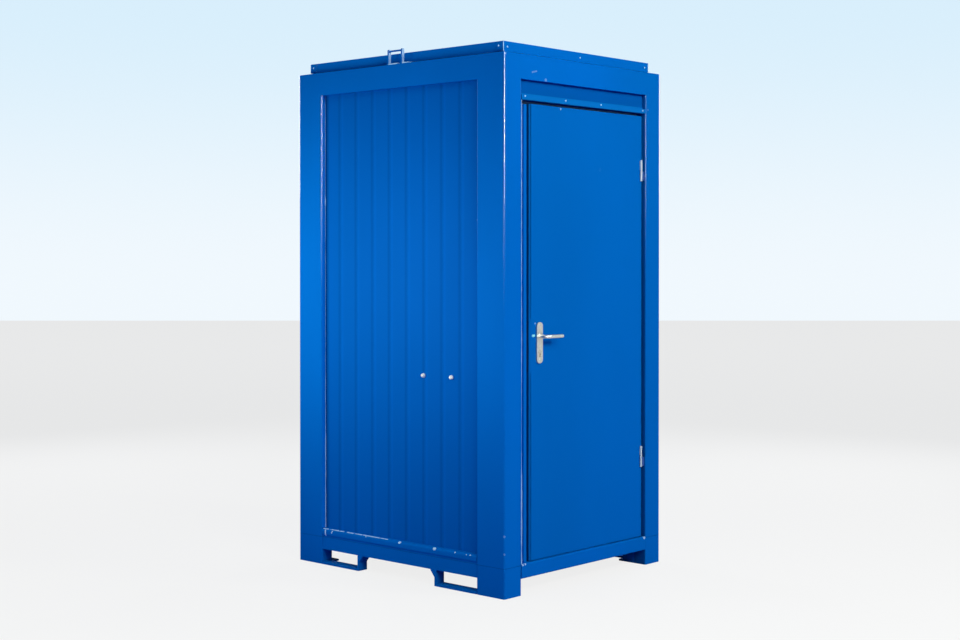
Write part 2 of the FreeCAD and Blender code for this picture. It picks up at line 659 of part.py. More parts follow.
def floor():
    """The floor panel lies in the base beams, and the covering sheet lies on it."""
    wide = half_width - rail_setback - beam_wall
    rear_reach = half_depth - rail_setback - beam_wall
    front_reach = half_depth - beam_flange
    outline = [(door_left, -front_reach), (door_right, -front_reach), (door_right, -side_half),
               (wide, -side_half), (wide, side_half), (door_right, side_half),
               (door_right, rear_reach), (door_left, rear_reach), (door_left, side_half),
               (-wide, side_half), (-wide, -side_half), (door_left, -side_half)]
    plate = prism("floor_plate", "XY", outline, beam_under + beam_wall, base_top)
    core_foot, core_top = beam_under + beam_wall * 2, base_top - floor_board
    core = join("floor_core", [
        block("core_across", (floor_edge - wide, floor_edge - side_half, core_foot),
              (wide - floor_edge, side_half - floor_edge, core_top)),
        block("core_along", (door_left + floor_edge, floor_edge - front_reach, core_foot),
              (door_right - floor_edge, rear_reach - floor_edge, core_top))])
    keep(cut("floor_boarded", plate, [core]), "floor_panel")
    outline = [(door_left, jamb_back), (door_right, jamb_back), (door_right, -side_half),
               (wall_in, -side_half), (wall_in, side_half), (door_right, side_half),
               (door_right, rear_in), (door_left, rear_in), (door_left, side_half),
               (-wall_in, side_half), (-wall_in, -side_half), (door_left, -side_half)]
    keep(prism("floor_cover", "XY", outline, base_top, floor_top), "floor_sheet")


def ribbed_panel(name, plane, half, face, sign, holes):
    """A sandwich panel: two sheets on a hollow core, with ribs pressed in the outer sheet."""
    back = face - wall_thick
    skin_in = face - outer_sheet
    low = {"XY_x": lambda a, b, z: (a, b, z), "XY_y": lambda a, b, z: (b, a, z)}[plane]
    f0, f1 = between(sign, back, face)
    shell = block(f"{name}_block", low(f0, -half, base_top), low(f1, half, top_under))
    c0, c1 = between(sign, back + inner_sheet, skin_in)
    core = block(f"{name}_core", low(c0, inner_sheet - half, base_top + inner_sheet),
                 low(c1, half - inner_sheet, top_under - inner_sheet))
    axis = "x" if plane == "XY_x" else "y"
    start = back if sign > 0 else -face
    ways = []
    collars = []
    for number, (along, up, radius) in enumerate(holes):
        foot = low(start - 1, along, up)
        ways.append(rod(f"{name}_way_{number}", foot, axis, radius, wall_thick + 2))
        collars.append(rod(f"{name}_collar_{number}", foot, axis, radius + outer_sheet * 2,
                           wall_thick + 2))
    void = cut(f"{name}_void", core, collars) if collars else core
    rows = int((half.value - rib_pitch.value * 0.5) / rib_pitch.value)
    tools = [void] + ways
    for row in range(-rows - 1, rows + 1):
        middle = rib_pitch * (row + 0.5)
        depth0 = (face + 1) * sign
        depth1 = (face - rib_depth) * sign
        points = [(depth0, middle - rib_width / 2), (depth0, middle + rib_width / 2),
                  (face * sign, middle + rib_width / 2), (depth1, middle + rib_width / 4),
                  (depth1, middle - rib_width / 4), (face * sign, middle - rib_width / 2)]
        if plane == "XY_y":
            points = [(v, u) for u, v in points]
        tools.append(prism(f"{name}_rib_{row + rows + 1}", "XY", points, base_top - 1,
                           top_under + 1))
    keep(cut(f"{name}_sheeted", shell, tools), name)


def walls():
    """Three sandwich walls between the posts, standing on the floor panel."""
    bolt_holes = [(basin_bolt_gap / 2 - basin_middle, basin_bolt_up, basin_bolt + 1),
                  (-(basin_bolt_gap / 2) - basin_middle, basin_bolt_up, basin_bolt + 1)]
    ribbed_panel("wall_panel_left", "XY_x", side_half, wall_face, -1, bolt_holes)
    ribbed_panel("wall_panel_right", "XY_x", side_half, wall_face, 1, [])
    soil_hole = [(length(0), floor_top + soil_above, soil_radius + seat_gap)]
    ribbed_panel("wall_panel_rear", "XY_y", door_right, rear_face, 1, soil_hole)


def transom():
    """The panel over the door and the drip ledge that is screwed to it."""
    face = front + transom_recess
    shell = block("transom_block", (door_left, face, transom_foot),
                  (door_right, face + transom_thick, top_under))
    core = block("transom_core",
                 (door_left + outer_sheet, face + outer_sheet, transom_foot + outer_sheet),
                 (door_right - outer_sheet, face + transom_thick - outer_sheet,
                  top_under - outer_sheet))
    keep(cut("transom_sheeted", shell, [core]), "transom_panel")
    shelf = transom_foot + ledge_top
    path = [(front, transom_foot), (front, shelf), (face - ledge_sheet, shelf),
            (face - ledge_sheet, shelf + ledge_leg)]
    reversed_path = [path[3], path[2], path[1], path[0]]
    ledge = folded("ledge_sheet_metal", "YZ", reversed_path, ledge_sheet, door_left, door_right)
    keep(ledge, "drip_ledge")


def door_frame():
    """Folded jambs and head behind the leaf, and the seal on their stops."""
    step = leaf_face + (transom_recess - leaf_recess)
    path = [(door_left, step), (-nose_outer, step), (-nose_outer, leaf_face),
            (-nose_inner, leaf_face), (-nose_inner, leaf_face + 12), (-jamb_cheek, leaf_face + 12),
            (-jamb_cheek, stop_face), (-lock_stop, stop_face), (-lock_stop, jamb_back),
            (door_left, jamb_back)]
    jamb = folded("lock_jamb_sheet", "XY", path, jamb_sheet, base_top, transom_foot)
    bolt_up = lever_height - dead_drop
    slot = block("dead_bolt_slot",
                 (-nose_inner, leaf_middle - bolt_thick / 2 - 1, bolt_up - bolt_height / 2 - 1),
                 (1 - jamb_cheek, leaf_middle + bolt_thick / 2 + 1, bolt_up + bolt_height / 2 + 1))
    crown = block("nose_crown", (door_left - 1, front, leaf_head - nose_drop),
                  (1 - jamb_cheek, leaf_face + jamb_step, transom_foot + 1))
    keep(cut("lock_jamb", jamb, [slot, crown]), "door_jamb_lock")
    path = [(door_right, jamb_back), (hinge_stop, jamb_back), (hinge_stop, stop_face),
            (door_right, stop_face)]
    keep(folded("hinge_jamb", "XY", path, jamb_sheet, base_top, transom_foot), "door_jamb_hinge")
    head_foot = transom_foot - head_drop
    path = [(stop_face, transom_foot), (stop_face, head_foot), (jamb_back, head_foot),
            (jamb_back, transom_foot)]
    keep(folded("head_sheet", "YZ", path, jamb_sheet, -lock_stop, hinge_stop), "door_head")

    y0, y1 = leaf_back + seal_clear, stop_face
    left0, left1 = -(lock_stop + seal_inset + seal_width), -(lock_stop + seal_inset)
    right0 = hinge_stop + hinge_seal_inset
    right1 = right0 + seal_width
    top1 = head_foot + seal_inset + seal_width
    foot = leaf_foot
    seal = [block("seal_left", (left0, y0, foot), (left1, y1, top1)),
            block("seal_right", (right0, y0, foot), (right1, y1, top1)),
            block("seal_top", (left0, y0, top1 - seal_width), (right1, y1, top1))]
    keep(join("seal_strip", seal), "door_seal")


def door_leaf():
    """A hollow steel leaf with bevelled upright edges and a solid block that holds the lock."""
    x0, x1 = -leaf_lock_edge, leaf_hinge_edge
    outline = [(x0, leaf_face + leaf_bevel_deep), (x0 + leaf_bevel_wide, leaf_face),
               (x1 - leaf_bevel_wide, leaf_face), (x1, leaf_face + leaf_bevel_deep),
               (x1, leaf_back), (x0, leaf_back)]
    skin = prism("leaf_skin", "XY", outline, leaf_foot, leaf_head)
    lining = leaf_bevel_deep + leaf_sheet
    core = block("leaf_core", (x0 + lining, leaf_face + leaf_sheet, leaf_foot + leaf_sheet),
                 (x1 - lining, leaf_back - leaf_sheet, leaf_head - leaf_sheet))
    nest = block("lock_nest",
                 (x0, leaf_face, lever_height - case_below - forend_reach - 8),
                 (x0 + case_depth + 12, leaf_back, lever_height + case_above + forend_reach + 8))
    void = cut("leaf_void", core, [nest])
    half = case_thick / 2
    case_room = block("case_room",
                      (x0 - 1, leaf_middle - half, lever_height - case_below),
                      (x0 + case_depth, leaf_middle + half, lever_height + case_above))
    forend_room = block("forend_room",
                        (x0 - 1, leaf_middle - forend_width / 2,
                         lever_height - case_below - forend_reach),
                        (x0 + forend_thick, leaf_middle + forend_width / 2,
                         lever_height + case_above + forend_reach))
    spindle_way = rod("spindle_way", (lever_x, leaf_face - 1, lever_height), "y", spindle_hole,
                      leaf_thick + 2)
    tools = [void, case_room, forend_room, spindle_way] + cylinder_tools("leaf", seat_gap)
    keep(cut("leaf_with_lock_nest", skin, tools), "door_leaf")


def cylinder_tools(label, gap):
    """The round part and the web of the lock cylinder's profile, grown by a gap, as cutters."""
    y0 = leaf_face - plate_thick - cylinder_proud
    reach = leaf_thick + plate_thick * 2 + cylinder_proud * 2
    axis_z = lever_height - cylinder_drop
    web = (cylinder_web / 2) + gap
    bottom = axis_z + cylinder_radius - cylinder_tall - gap
    return [rod(f"{label}_barrel", (lever_x, y0, axis_z), "y", cylinder_radius + gap, reach),
            block(f"{label}_web", (lever_x - web, y0, bottom), (lever_x + web, y0 + reach, axis_z))]


def hinges():
    """Weld-on barrel hinges: the lower barrel and pin on the post, the upper barrel on the leaf."""
    axis_y = leaf_face - barrel_radius - 0.5
    fixed = []
    moving = []
    for name, foot in (("upper", upper_hinge), ("lower", lower_hinge)):
        centre = (hinge_axis_right, axis_y, foot)
        upper_foot = foot + barrel_length + barrel_gap
        barrel = rod(f"{name}_fixed_barrel", centre, "z", barrel_radius, barrel_length)
        arm = block(f"{name}_arm", (hinge_axis_right, axis_y - 2, foot + 4),
                    (door_right, axis_y + 2, foot + barrel_length - 4))
        pin = rod(f"{name}_pin", centre, "z", pin_radius, barrel_length * 2 - 6)
        fixed.append(join(f"{name}_fixed_half", [barrel, arm, pin]))
        sleeve = rod(f"{name}_leaf_barrel", (hinge_axis_right, axis_y, upper_foot), "z",
                     barrel_radius, barrel_length)
        lug = block(f"{name}_lug", (hinge_axis_right - lug_width / 2, axis_y, upper_foot + 4),
                    (hinge_axis_right + lug_width / 2, leaf_face,
                     upper_foot + barrel_length - 4))
        bore = rod(f"{name}_bore", (hinge_axis_right, axis_y, upper_foot - 1), "z",
                   pin_radius + running_gap, barrel_length - 4)
        moving.append(cut(f"{name}_leaf_half", join(f"{name}_sleeve", [sleeve, lug]), [bore]))
    keep(group("fixed_barrels", fixed), "hinge_barrels_fixed")
    keep(group("leaf_barrels", moving), "hinge_barrels_leaf")


def mortise_lock():
    """The lock case with its forend, the sprung latch bolt and the dead bolt inside it."""
    x0 = -leaf_lock_edge
    half = case_thick / 2
    case = block("case_box", (x0 + forend_thick, leaf_middle - half, lever_height - case_below),
                 (x0 + case_depth, leaf_middle + half, lever_height + case_above))
    room = block("case_inside",
                 (x0 + forend_thick, leaf_middle - half + case_wall,
                  lever_height - case_below + case_wall),
                 (x0 + case_depth - case_wall, leaf_middle + half - case_wall,
                  lever_height + case_above - case_wall))
    forend = block("forend",
                   (x0, leaf_middle - forend_width / 2, lever_height - case_below - forend_reach),
                   (x0 + forend_thick, leaf_middle + forend_width / 2,
                    lever_height + case_above + forend_reach))
    bolts = (("latch", lever_height), ("dead", lever_height - dead_drop))
    slots = []
    for name, up in bolts:
        tall = bolt_height / 2 + bolt_clear
        wide = bolt_thick / 2 + bolt_clear
        slots.append(block(f"{name}_slot", (x0 - 1, leaf_middle - wide, up - tall),
                           (x0 + forend_thick + 1, leaf_middle + wide, up + tall)))
    spindle_way = rod("case_spindle_way", (lever_x, leaf_face, lever_height), "y", spindle_hole,
                      leaf_thick)
    body = join("case_and_forend", [case, forend])
    tools = [room, spindle_way] + slots + cylinder_tools("case", seat_gap)
    keep(cut("case_open", body, tools), "lock_case")

    for name, up, out, long in (("latch", lever_height, latch_throw, latch_length),
                                ("dead", lever_height - dead_drop, length(0), dead_length)):
        y0, y1 = leaf_middle - bolt_thick / 2, leaf_middle + bolt_thick / 2
        tip = x0 - out
        z0, z1 = up - bolt_height / 2, up + bolt_height / 2
        if name == "latch":
            outline = [(tip, y0), (tip + long, y0), (tip + long, y1),
                       (tip + latch_throw, y1), (tip, y0 + 3)]
            keep(prism("latch_solid", "XY", outline, z0, z1), "latch_bolt")
        else:
            keep(block("dead_bolt_bar", (tip, y0, z0), (tip + long, y1, z1)), "dead_bolt")


def handle_set():
    """Long plates on both faces, the cylinder with its thumb-turn, and the two levers."""
    plates = []
    x0, x1 = lever_x - plate_width / 2, lever_x + plate_width / 2
    z0, z1 = lever_height - plate_below, lever_height + plate_above
    outline = [(x0, z0), (x1, z0), (x1, z1), (x0, z1)]
    rounds = [(index, plate_round) for index in range(4)]
    neck_way = rod("neck_way", (lever_x, leaf_face - plate_thick - 1, lever_height), "y",
                   lever_radius + running_gap, leaf_thick + plate_thick * 2 + 2)
    for name, start in (("outer", leaf_face - plate_thick), ("inner", leaf_back)):
        plate = prism(f"{name}_plate", "XZ", outline, start, start + plate_thick, rounds)
        tools = [neck_way] + cylinder_tools(f"{name}_plate", seat_gap)
        plates.append(cut(f"{name}_plate_cut", plate, tools))
    keep(group("plate_pair", plates), "handle_plates")

    barrel, web = cylinder_tools("cylinder", length(0))
    plug_way = rod("plug_way", (lever_x, leaf_face - plate_thick - cylinder_proud - 1,
                                lever_height - cylinder_drop), "y", plug_radius + running_gap,
                   leaf_thick + plate_thick * 2 + cylinder_proud * 2 + 2)
    keep(cut("cylinder_body", join("cylinder_profile", [barrel, web]), [plug_way]),
         "lock_cylinder")

    axis_z = lever_height - cylinder_drop
    plug_start = leaf_face - plate_thick - cylinder_proud
    inner_face = leaf_back + plate_thick
    plug = rod("plug", (lever_x, plug_start, axis_z), "y", plug_radius,
               inner_face + knob_stand - plug_start)
    knob = rod("knob_disc", (lever_x, inner_face + cylinder_proud + 1, axis_z), "y", knob_radius,
               length(8))
    wing = block("knob_wing", (lever_x - 4, inner_face + cylinder_proud + 5, axis_z - knob_radius),
                 (lever_x + 4, inner_face + knob_stand, axis_z + knob_radius))
    key_slot = block("key_slot", (lever_x - 1.2, plug_start - 1, axis_z - 5),
                     (lever_x + 1.2, plug_start + 14, axis_z + 4))
    keep(cut("turn", join("turn_body", [plug, knob, wing]), [key_slot]), "thumb_turn")

    lever_pair()


def lever_bar(sign, root):
    """A round bar: straight out of the plate, round a bend, then along the door to a round tip."""
    radius, reach = lever_radius.value, lever_reach.value
    bend, stand = lever_bend.value, lever_stand.value
    x, z = lever_x.value, lever_height.value
    run = root + sign * stand
    corner = bend * (1 - math.sqrt(0.5))
    start = vec(x, root, z)
    leave = vec(x, run - sign * bend, z)
    turn = vec(x + corner, run - sign * corner, z)
    join_up = vec(x + bend, run, z)
    tip = vec(x + reach - radius, run, z)
    path = Part.Wire([Part.LineSegment(start, leave).toShape(),
                      Part.Arc(leave, turn, join_up).toShape(),
                      Part.LineSegment(join_up, tip).toShape()])
    profile = Part.Wire([Part.Circle(start, vec(0, sign, 0), radius).toShape()])
    bar = path.makePipeShell([profile], True, True)
    return bar.fuse(Part.makeSphere(radius, tip)).removeSplitter()


def lever_pair():
    """The spindle is fast in the outer lever and enters a square socket in the inner one."""
    side = spindle_side.value
    outer_root = leaf_face.value - plate_thick.value + 1
    inner_root = leaf_back.value + plate_thick.value - 1
    socket_end = inner_root + 22
    x, z = lever_x.value, lever_height.value
    spindle = Part.makeBox(side, socket_end - 1 - outer_root, side,
                           vec(x - side / 2, outer_root, z - side / 2))
    outer = lever_bar(-1, outer_root).fuse(spindle).removeSplitter()
    keep(shaped("outer_lever_solid", outer), "lever_outer")
    play = running_gap.value * 2
    socket = Part.makeBox(side + play, socket_end - inner_root + 1, side + play,
                          vec(x - (side + play) / 2, inner_root - 1, z - (side + play) / 2))
    keep(shaped("inner_lever_solid", lever_bar(1, inner_root).cut(socket)), "lever_inner")


# Height and width as shares, and the nose's set-back as a share of the height
PAN_PROFILE = ((0, 0.62, 0.3), (0.12, 0.58, 0.32), (0.35, 0.6, 0.295), (0.6, 0.73, 0.17),
               (0.8, 0.89, 0.06), (0.92, 0.98, 0.01), (1, 1, 0))
# Depth and size of the bowl's rings, as shares
BASIN_PROFILE = ((-0.01, 1), (0.3, 0.985), (0.55, 0.95), (0.75, 0.885), (0.9, 0.76), (1, 0.55))
BOWL_PROFILE = ((-0.01, 1), (0.3, 0.94), (0.5, 0.84), (0.7, 0.68), (0.88, 0.5), (1, 0.36))


def pan_outline(up, half, front_y, back_y):
    """A round-nosed outline: half an ellipse in front, straight sides and a straight back."""
    nose = half * 1.25
    middle = front_y + nose
    ellipse = Part.Ellipse(vec(0, front_y, up), vec(half, middle, up), vec(0, middle, up))
    arc = Part.ArcOfEllipse(ellipse, -math.pi / 2, math.pi / 2).toShape()
    ends = [vertex.Point for vertex in arc.Vertexes]
    first, last = (ends[0], ends[-1]) if ends[0].x < ends[-1].x else (ends[-1], ends[0])
    left = vec(-half, back_y, up)
    right = vec(half, back_y, up)
    return Part.Wire([arc, Part.makeLine(last, right), Part.makeLine(right, left),
                      Part.makeLine(left, first)])


def bowl_ring(up, half, long, middle):
    """An ellipse of the bowl's hollow, longer than it is wide."""
    ellipse = Part.Ellipse(vec(0, middle - long, up), vec(half, middle, up), vec(0, middle, up))
    return Part.Wire([ellipse.toShape()])


def toilet():
    """The pan, lofted through its foot, waist and rim, and the bowl inside it."""
    floor_z = floor_top.value
    rim = floor_z + rim_above.value
    half, nose, back = pan_half.value, pan_nose.value, pan_back.value
    rise = rim_above.value
    outer = [pan_outline(floor_z + rise * up, half * wide, nose + rise * set_back, back)
             for up, wide, set_back in PAN_PROFILE]
    body = Part.makeLoft(outer, True, True)
    wide, long, middle = bowl_half.value, bowl_long.value, bowl_centre.value
    deep, wall = bowl_deep.value, pan_wall.value
    hollow = [bowl_ring(rim - deep * down, wide * share, long * share, middle + 14 * down)
              for down, share in BOWL_PROFILE]
    pan = body.cut(Part.makeLoft(hollow, True, True))
    inside = [pan_outline(floor_z + wall + (rise - wall * 2.5) * up, half * width - wall,
                          nose + rise * set_back + wall * 1.3, back - wall)
              for up, width, set_back in PAN_PROFILE[::2]]
    grown = [bowl_ring(rim + wall - (deep + wall * 2) * down, wide * share + wall,
                       long * share + wall, middle + 14 * down)
             for down, share in BOWL_PROFILE]
    pan = pan.cut(Part.makeLoft(inside, True, True).cut(Part.makeLoft(grown, True, True)))
    keep(shaped("pan_solid", pan), "toilet_bowl")

    axis_y, axis_z = seat_axis_back, floor_top + rim_above + seat_axis_up
    rim_z = floor_top + rim_above
    posts = []
    for side in ("left", "right"):
        sign = side_sign(side)
        seat_post_out = seat_post_in + seat_post_wide
        x0, x1 = between(sign, seat_post_in, seat_post_out)
        post = block(f"{side}_seat_post", (x0, axis_y - seat_post_half, rim_z),
                     (x1, axis_y + seat_post_half, axis_z + knuckle_radius))
        p0, p1 = between(sign, seat_pin_in, seat_post_out)
        pin = rod(f"{side}_seat_pin", (p0, axis_y, axis_z), "x", seat_pin, p1 - p0)
        posts.append(join(f"{side}_seat_hinge", [post, pin]))
    keep(group("seat_hinge_pair", posts), "seat_hinge")

    seat_low = rim + seat_gap.value
    seat_high = seat_low + seat_thick.value
    lid_low = seat_high + seat_gap.value
    lid_high = lid_low + lid_thick.value
    edge_back = (seat_axis_back - edge_setback).value
    seat_nose = pan_nose.value - 6
    pivot = vec(0, axis_y.value, axis_z.value)
    hole = Part.makeLoft([bowl_ring(seat_low - 1, wide * 0.92, long * 0.9, middle - 6),
                          bowl_ring(seat_high + 1, wide * 0.98, long * 0.95, middle - 6)], True, False)
    ring = plate_with_edges(seat_low, seat_high, half + 2, seat_nose, edge_back).cut(hole)
    seat = add_knuckles(ring, pivot, seat_low, seat_high, edge_back, seat_knuckle_in.value)
    keep(shaped("seat_solid", seat), "toilet_seat")
    lid = plate_with_edges(lid_low, lid_high, half + 2, seat_nose - 2, edge_back)
    lid = add_knuckles(lid, pivot, lid_low, lid_high, edge_back, lid_knuckle_in.value)
    lid.rotate(pivot, vec(-1, 0, 0), lid_open.value)
    keep(shaped("lid_solid", lid), "toilet_lid")


def plate_with_edges(low, high, half, front_y, back_y):
    """A round-nosed plate with its top edge softened."""
    soft = (high - low) * 0.35
    shapes = [pan_outline(low, half, front_y, back_y),
              pan_outline(high - soft, half, front_y, back_y)]
    body = Part.makeLoft(shapes, True, True)
    top = Part.makeLoft([pan_outline(high - soft, half, front_y, back_y),
                         pan_outline(high, half - soft, front_y + soft, back_y)], True, True)
    return body.fuse(top).removeSplitter()


def add_knuckles(plate, pivot, low, high, back_y, near):
    """Two bored knuckles on arms behind a seat or lid."""
    far = near + knuckle_wide.value
    radius = knuckle_radius.value
    bore = seat_pin.value + running_gap.value
    result = plate
    bores = []
    for sign in (-1, 1):
        x0 = min(sign * near, sign * far)
        arm = Part.makeBox(far - near, pivot.y - back_y + 10, high - low,
                           vec(x0, back_y - 10, low))
        knuckle = Part.makeCylinder(radius, far - near, vec(x0, pivot.y, pivot.z), vec(1, 0, 0))
        bores.append(Part.makeCylinder(bore, far - near + 2, vec(x0 - 1, pivot.y, pivot.z),
                                       vec(1, 0, 0)))
        result = result.fuse(arm).fuse(knuckle)
    return result.removeSplitter().cut(bores[0]).cut(bores[1])


def cistern():
    """The cistern behind the seat, its lid with the flush button, and the soil pipe."""
    rim = floor_top + rim_above
    y1 = rear_in - tank_back_gap
    y0 = y1 - tank_deep
    half = tank_width / 2
    outline = [(-half, y0), (half, y0), (half, y1), (-half, y1)]
    corner = size("tank_round", 30, "rounding of the cistern's front corners")
    tank = prism("tank_block", "XY", outline, rim, rim + tank_high, [(0, corner), (1, corner)])
    room = block("tank_room", (tank_wall - half, y0 + tank_wall, rim + tank_wall * 1.5),
                 (half - tank_wall, y1 - tank_wall, rim + tank_high + 1))
    soft = corner - tank_wall
    doc.recompute()
    keep(cut("tank_shell", tank, [rounded_box(room, soft)]), "cistern")

    over = tank_lid_over
    lid_foot = rim + tank_high
    outline = [(-half - over, y0 - over), (half + over, y0 - over), (half + over, y1),
               (-half - over, y1)]
    lid = prism("tank_lid_block", "XY", outline, lid_foot, lid_foot + tank_lid,
                [(0, corner), (1, corner)])
    middle = (y0 + y1) / 2
    well = rod("button_well", (length(0), middle, lid_foot - 1), "z", button_radius + seat_gap,
               tank_lid + 2)
    keep(cut("tank_lid_open", lid, [well]), "cistern_lid")
    button = rod("button", (length(0), middle, lid_foot + 4), "z", button_radius,
                 tank_lid - 4 + button_proud)
    keep(button, "flush_button")

    soil_z = floor_top + soil_above
    seat_y = rear_face + 5
    mouth = seat_y + socket_deep
    pipe = rod("soil_outside", (length(0), pan_back, soil_z), "y", soil_radius, seat_y - pan_back)
    socket = rod("soil_socket", (length(0), rear_face + 1, soil_z), "y", soil_radius + soil_wall * 1.5,
                 mouth - rear_face - 1)
    bore = rod("soil_bore", (length(0), pan_back + 6, soil_z), "y", soil_radius - soil_wall,
               seat_y - pan_back)
    mouth_bore = rod("socket_bore", (length(0), seat_y, soil_z), "y", soil_radius + seat_gap,
                     socket_deep + 1)
    keep(cut("soil_tube", join("soil_stub", [pipe, socket]), [bore, mouth_bore]), "soil_pipe")


def rounded_box(item, radius):
    """The front upright edges of a box rounded."""
    fillet = doc.addObject("Part::Fillet", f"{item.Name}_rounded")
    fillet.Base = item
    low = item.Shape.BoundBox.YMin
    chosen = []
    for number, edge in enumerate(item.Shape.Edges, start=1):
        ends = [vertex.Point for vertex in edge.Vertexes]
        if abs(ends[0].z - ends[1].z) > 1 and all(abs(p.y - low) < 1e-4 for p in ends):
            chosen.append((number, radius.value, radius.value))
    fillet.Edges = chosen
    return fillet


def hand_basin():
    """A wall basin with its bolts through the wall, its waste and trap, and a pillar tap."""
    wall = -wall_in
    x0, x1 = wall, wall + basin_out
    y0, y1 = -basin_middle - basin_wide / 2, -basin_middle + basin_wide / 2
    z0, z1 = basin_rim - basin_high, basin_rim
    corner = size("basin_round", 60, "rounding of the basin's front corners")
    wires = []
    for shrink, drop in ((0, 0), (0, 38), (70, basin_high.value)):
        wires.append(round_front(x0.value, x1.value - shrink * 1.2, y0.value + shrink,
                                 y1.value - shrink, z1.value - drop, corner.value - shrink * 0.2))
    body = shaped("basin_block", Part.makeLoft(wires, True, True))
    middle_x = (x0.value + basin_shelf.value + x1.value - basin_wall.value) / 2
    half_x = (x1.value - basin_wall.value - x0.value - basin_shelf.value) / 2
    half_y = basin_wide.value / 2 - basin_wall.value * 2
    deep = basin_high.value - basin_wall.value * 1.5
    rings = []
    for down, share in BASIN_PROFILE:
        up = z1.value - deep * down
        side = vec(middle_x, -basin_middle.value + half_y * share, up)
        rings.append(Part.Wire([Part.Ellipse(side, vec(middle_x + half_x * share, -basin_middle.value, up),
                                             vec(middle_x, -basin_middle.value, up)).toShape()]))
    hollow = shaped("basin_hollow", Part.makeLoft(rings, True, True))
    bowl_x = x0 + (basin_shelf + basin_out - basin_wall) / 2
    waste = rod("waste_way", (bowl_x, -basin_middle, z0 - 1), "z", waste_radius, basin_high)
    tap_x = x0 + basin_shelf / 2
    tap_way = rod("tap_way", (tap_x, -basin_middle, z0 - 1), "z", tap_tail, basin_high + 2)
    bolt_ways = []
    bolts = []
    for number, sign in enumerate((-1, 1)):
        y = -basin_middle + basin_bolt_gap / 2 * sign
        bolt_ways.append(rod(f"bolt_way_{number}", (x0 - 1, y, basin_bolt_up), "x",
                             basin_bolt + running_gap, length(41)))
        shank = rod(f"shank_{number}", (-wall_face - 6, y, basin_bolt_up), "x", basin_bolt,
                    wall_thick + 6 + 40)
        washer = rod(f"washer_{number}", (-wall_face - 2, y, basin_bolt_up), "x",
                     dome_radius + 2.5, length(2))
        nut = rod(f"nut_{number}", (-wall_face - 7, y, basin_bolt_up), "x", dome_radius, length(5))
        dome = doc.addObject("Part::Sphere", f"dome_{number}")
        bind(dome, "Radius", dome_radius)
        place(dome, (-wall_face - 7, y, basin_bolt_up))
        half_dome = cut(f"half_dome_{number}", dome,
                        [block(f"dome_trim_{number}", (-wall_face - 7, y - 20, basin_bolt_up - 20),
                               (-wall_face + 20, y + 20, basin_bolt_up + 20))])
        bolts.append(join(f"basin_bolt_{number}", [shank, washer, nut, half_dome]))
    tools = [hollow, waste, tap_way] + bolt_ways
    keep(cut("basin_bowl", body, tools), "wash_basin")
    keep(group("basin_bolt_pair", bolts), "basin_bolts")

    drain_z = z0 + basin_wall * 1.5
    cup_foot = z0 - trap_drop
    flange = rod("waste_ring", (bowl_x, -basin_middle, drain_z), "z", waste_flange, length(3))
    tail = rod("waste_tail", (bowl_x, -basin_middle, cup_foot + trap_high - 5), "z",
               waste_radius - running_gap, drain_z - cup_foot - trap_high + 6)
    cup = rod("trap_cup", (bowl_x, -basin_middle, cup_foot), "z", trap_radius, trap_high)
    arm = rod("trap_arm", (x0, -basin_middle, z0 - trap_arm_drop), "x", waste_radius, bowl_x - x0)
    keep(join("trap", [flange, tail, cup, arm]), "basin_trap")

    pillar = rod("tap_pillar", (tap_x, -basin_middle, z1), "z", tap_radius, tap_high)
    stem = rod("tap_stem", (tap_x, -basin_middle, z1 - 60), "z", tap_tail - running_gap * 2,
               length(61))
    spout = spout_bar(tap_x.value, -basin_middle.value, z1.value + tap_high.value * 0.62)
    top = z1 + tap_high
    bore = rod("tap_bore", (tap_x, -basin_middle, top - 15), "z", tap_stem + running_gap, length(16))
    solid = join("tap_solid", [pillar, stem, shaped("tap_spout", spout)])
    keep(cut("tap", solid, [bore]), "tap_body")
    head_z = top + seat_gap
    shaft = rod("tap_shaft", (tap_x, -basin_middle, top - 14), "z", tap_stem, length(16))
    head = rod("tap_head", (tap_x, -basin_middle, head_z), "z", tap_radius, length(16))
    grip = block("tap_grip", (tap_x, -basin_middle - 7, head_z + 6),
                 (tap_x + 70, -basin_middle + 7, head_z + 14))
    keep(join("tap_handle", [shaft, head, grip]), "tap_lever")


def round_front(x0, x1, y0, y1, z, radius):
    """A level outline against the left wall, with its two front corners rounded."""
    slack = radius * (1 - math.sqrt(0.5))
    low = Part.Arc(vec(x1 - radius, y0, z), vec(x1 - slack, y0 + slack, z),
                   vec(x1, y0 + radius, z)).toShape()
    high = Part.Arc(vec(x1, y1 - radius, z), vec(x1 - slack, y1 - slack, z),
                    vec(x1 - radius, y1, z)).toShape()
    return Part.Wire([Part.makeLine(vec(x0, y0, z), vec(x1 - radius, y0, z)), low,
                      Part.makeLine(vec(x1, y0 + radius, z), vec(x1, y1 - radius, z)), high,
                      Part.makeLine(vec(x1 - radius, y1, z), vec(x0, y1, z)),
                      Part.makeLine(vec(x0, y1, z), vec(x0, y0, z))])


def spout_bar(x, y, z):
    """A spout that leaves the pillar level and turns down at its end."""
    start, leave = vec(x, y, z), vec(x + 84, y, z)
    bend = 16
    corner = bend * (1 - math.sqrt(0.5))
    turn = vec(x + 84 + bend - corner, y, z - corner)
    down = vec(x + 84 + bend, y, z - bend)
    end = vec(x + 84 + bend, y, z - bend - 8)
    path = Part.Wire([Part.LineSegment(start, leave).toShape(),
                      Part.Arc(leave, turn, down).toShape(),
                      Part.LineSegment(down, end).toShape()])
    profile = Part.Wire([Part.Circle(start, vec(1, 0, 0), 10).toShape()])
    return path.makePipeShell([profile], True, True)


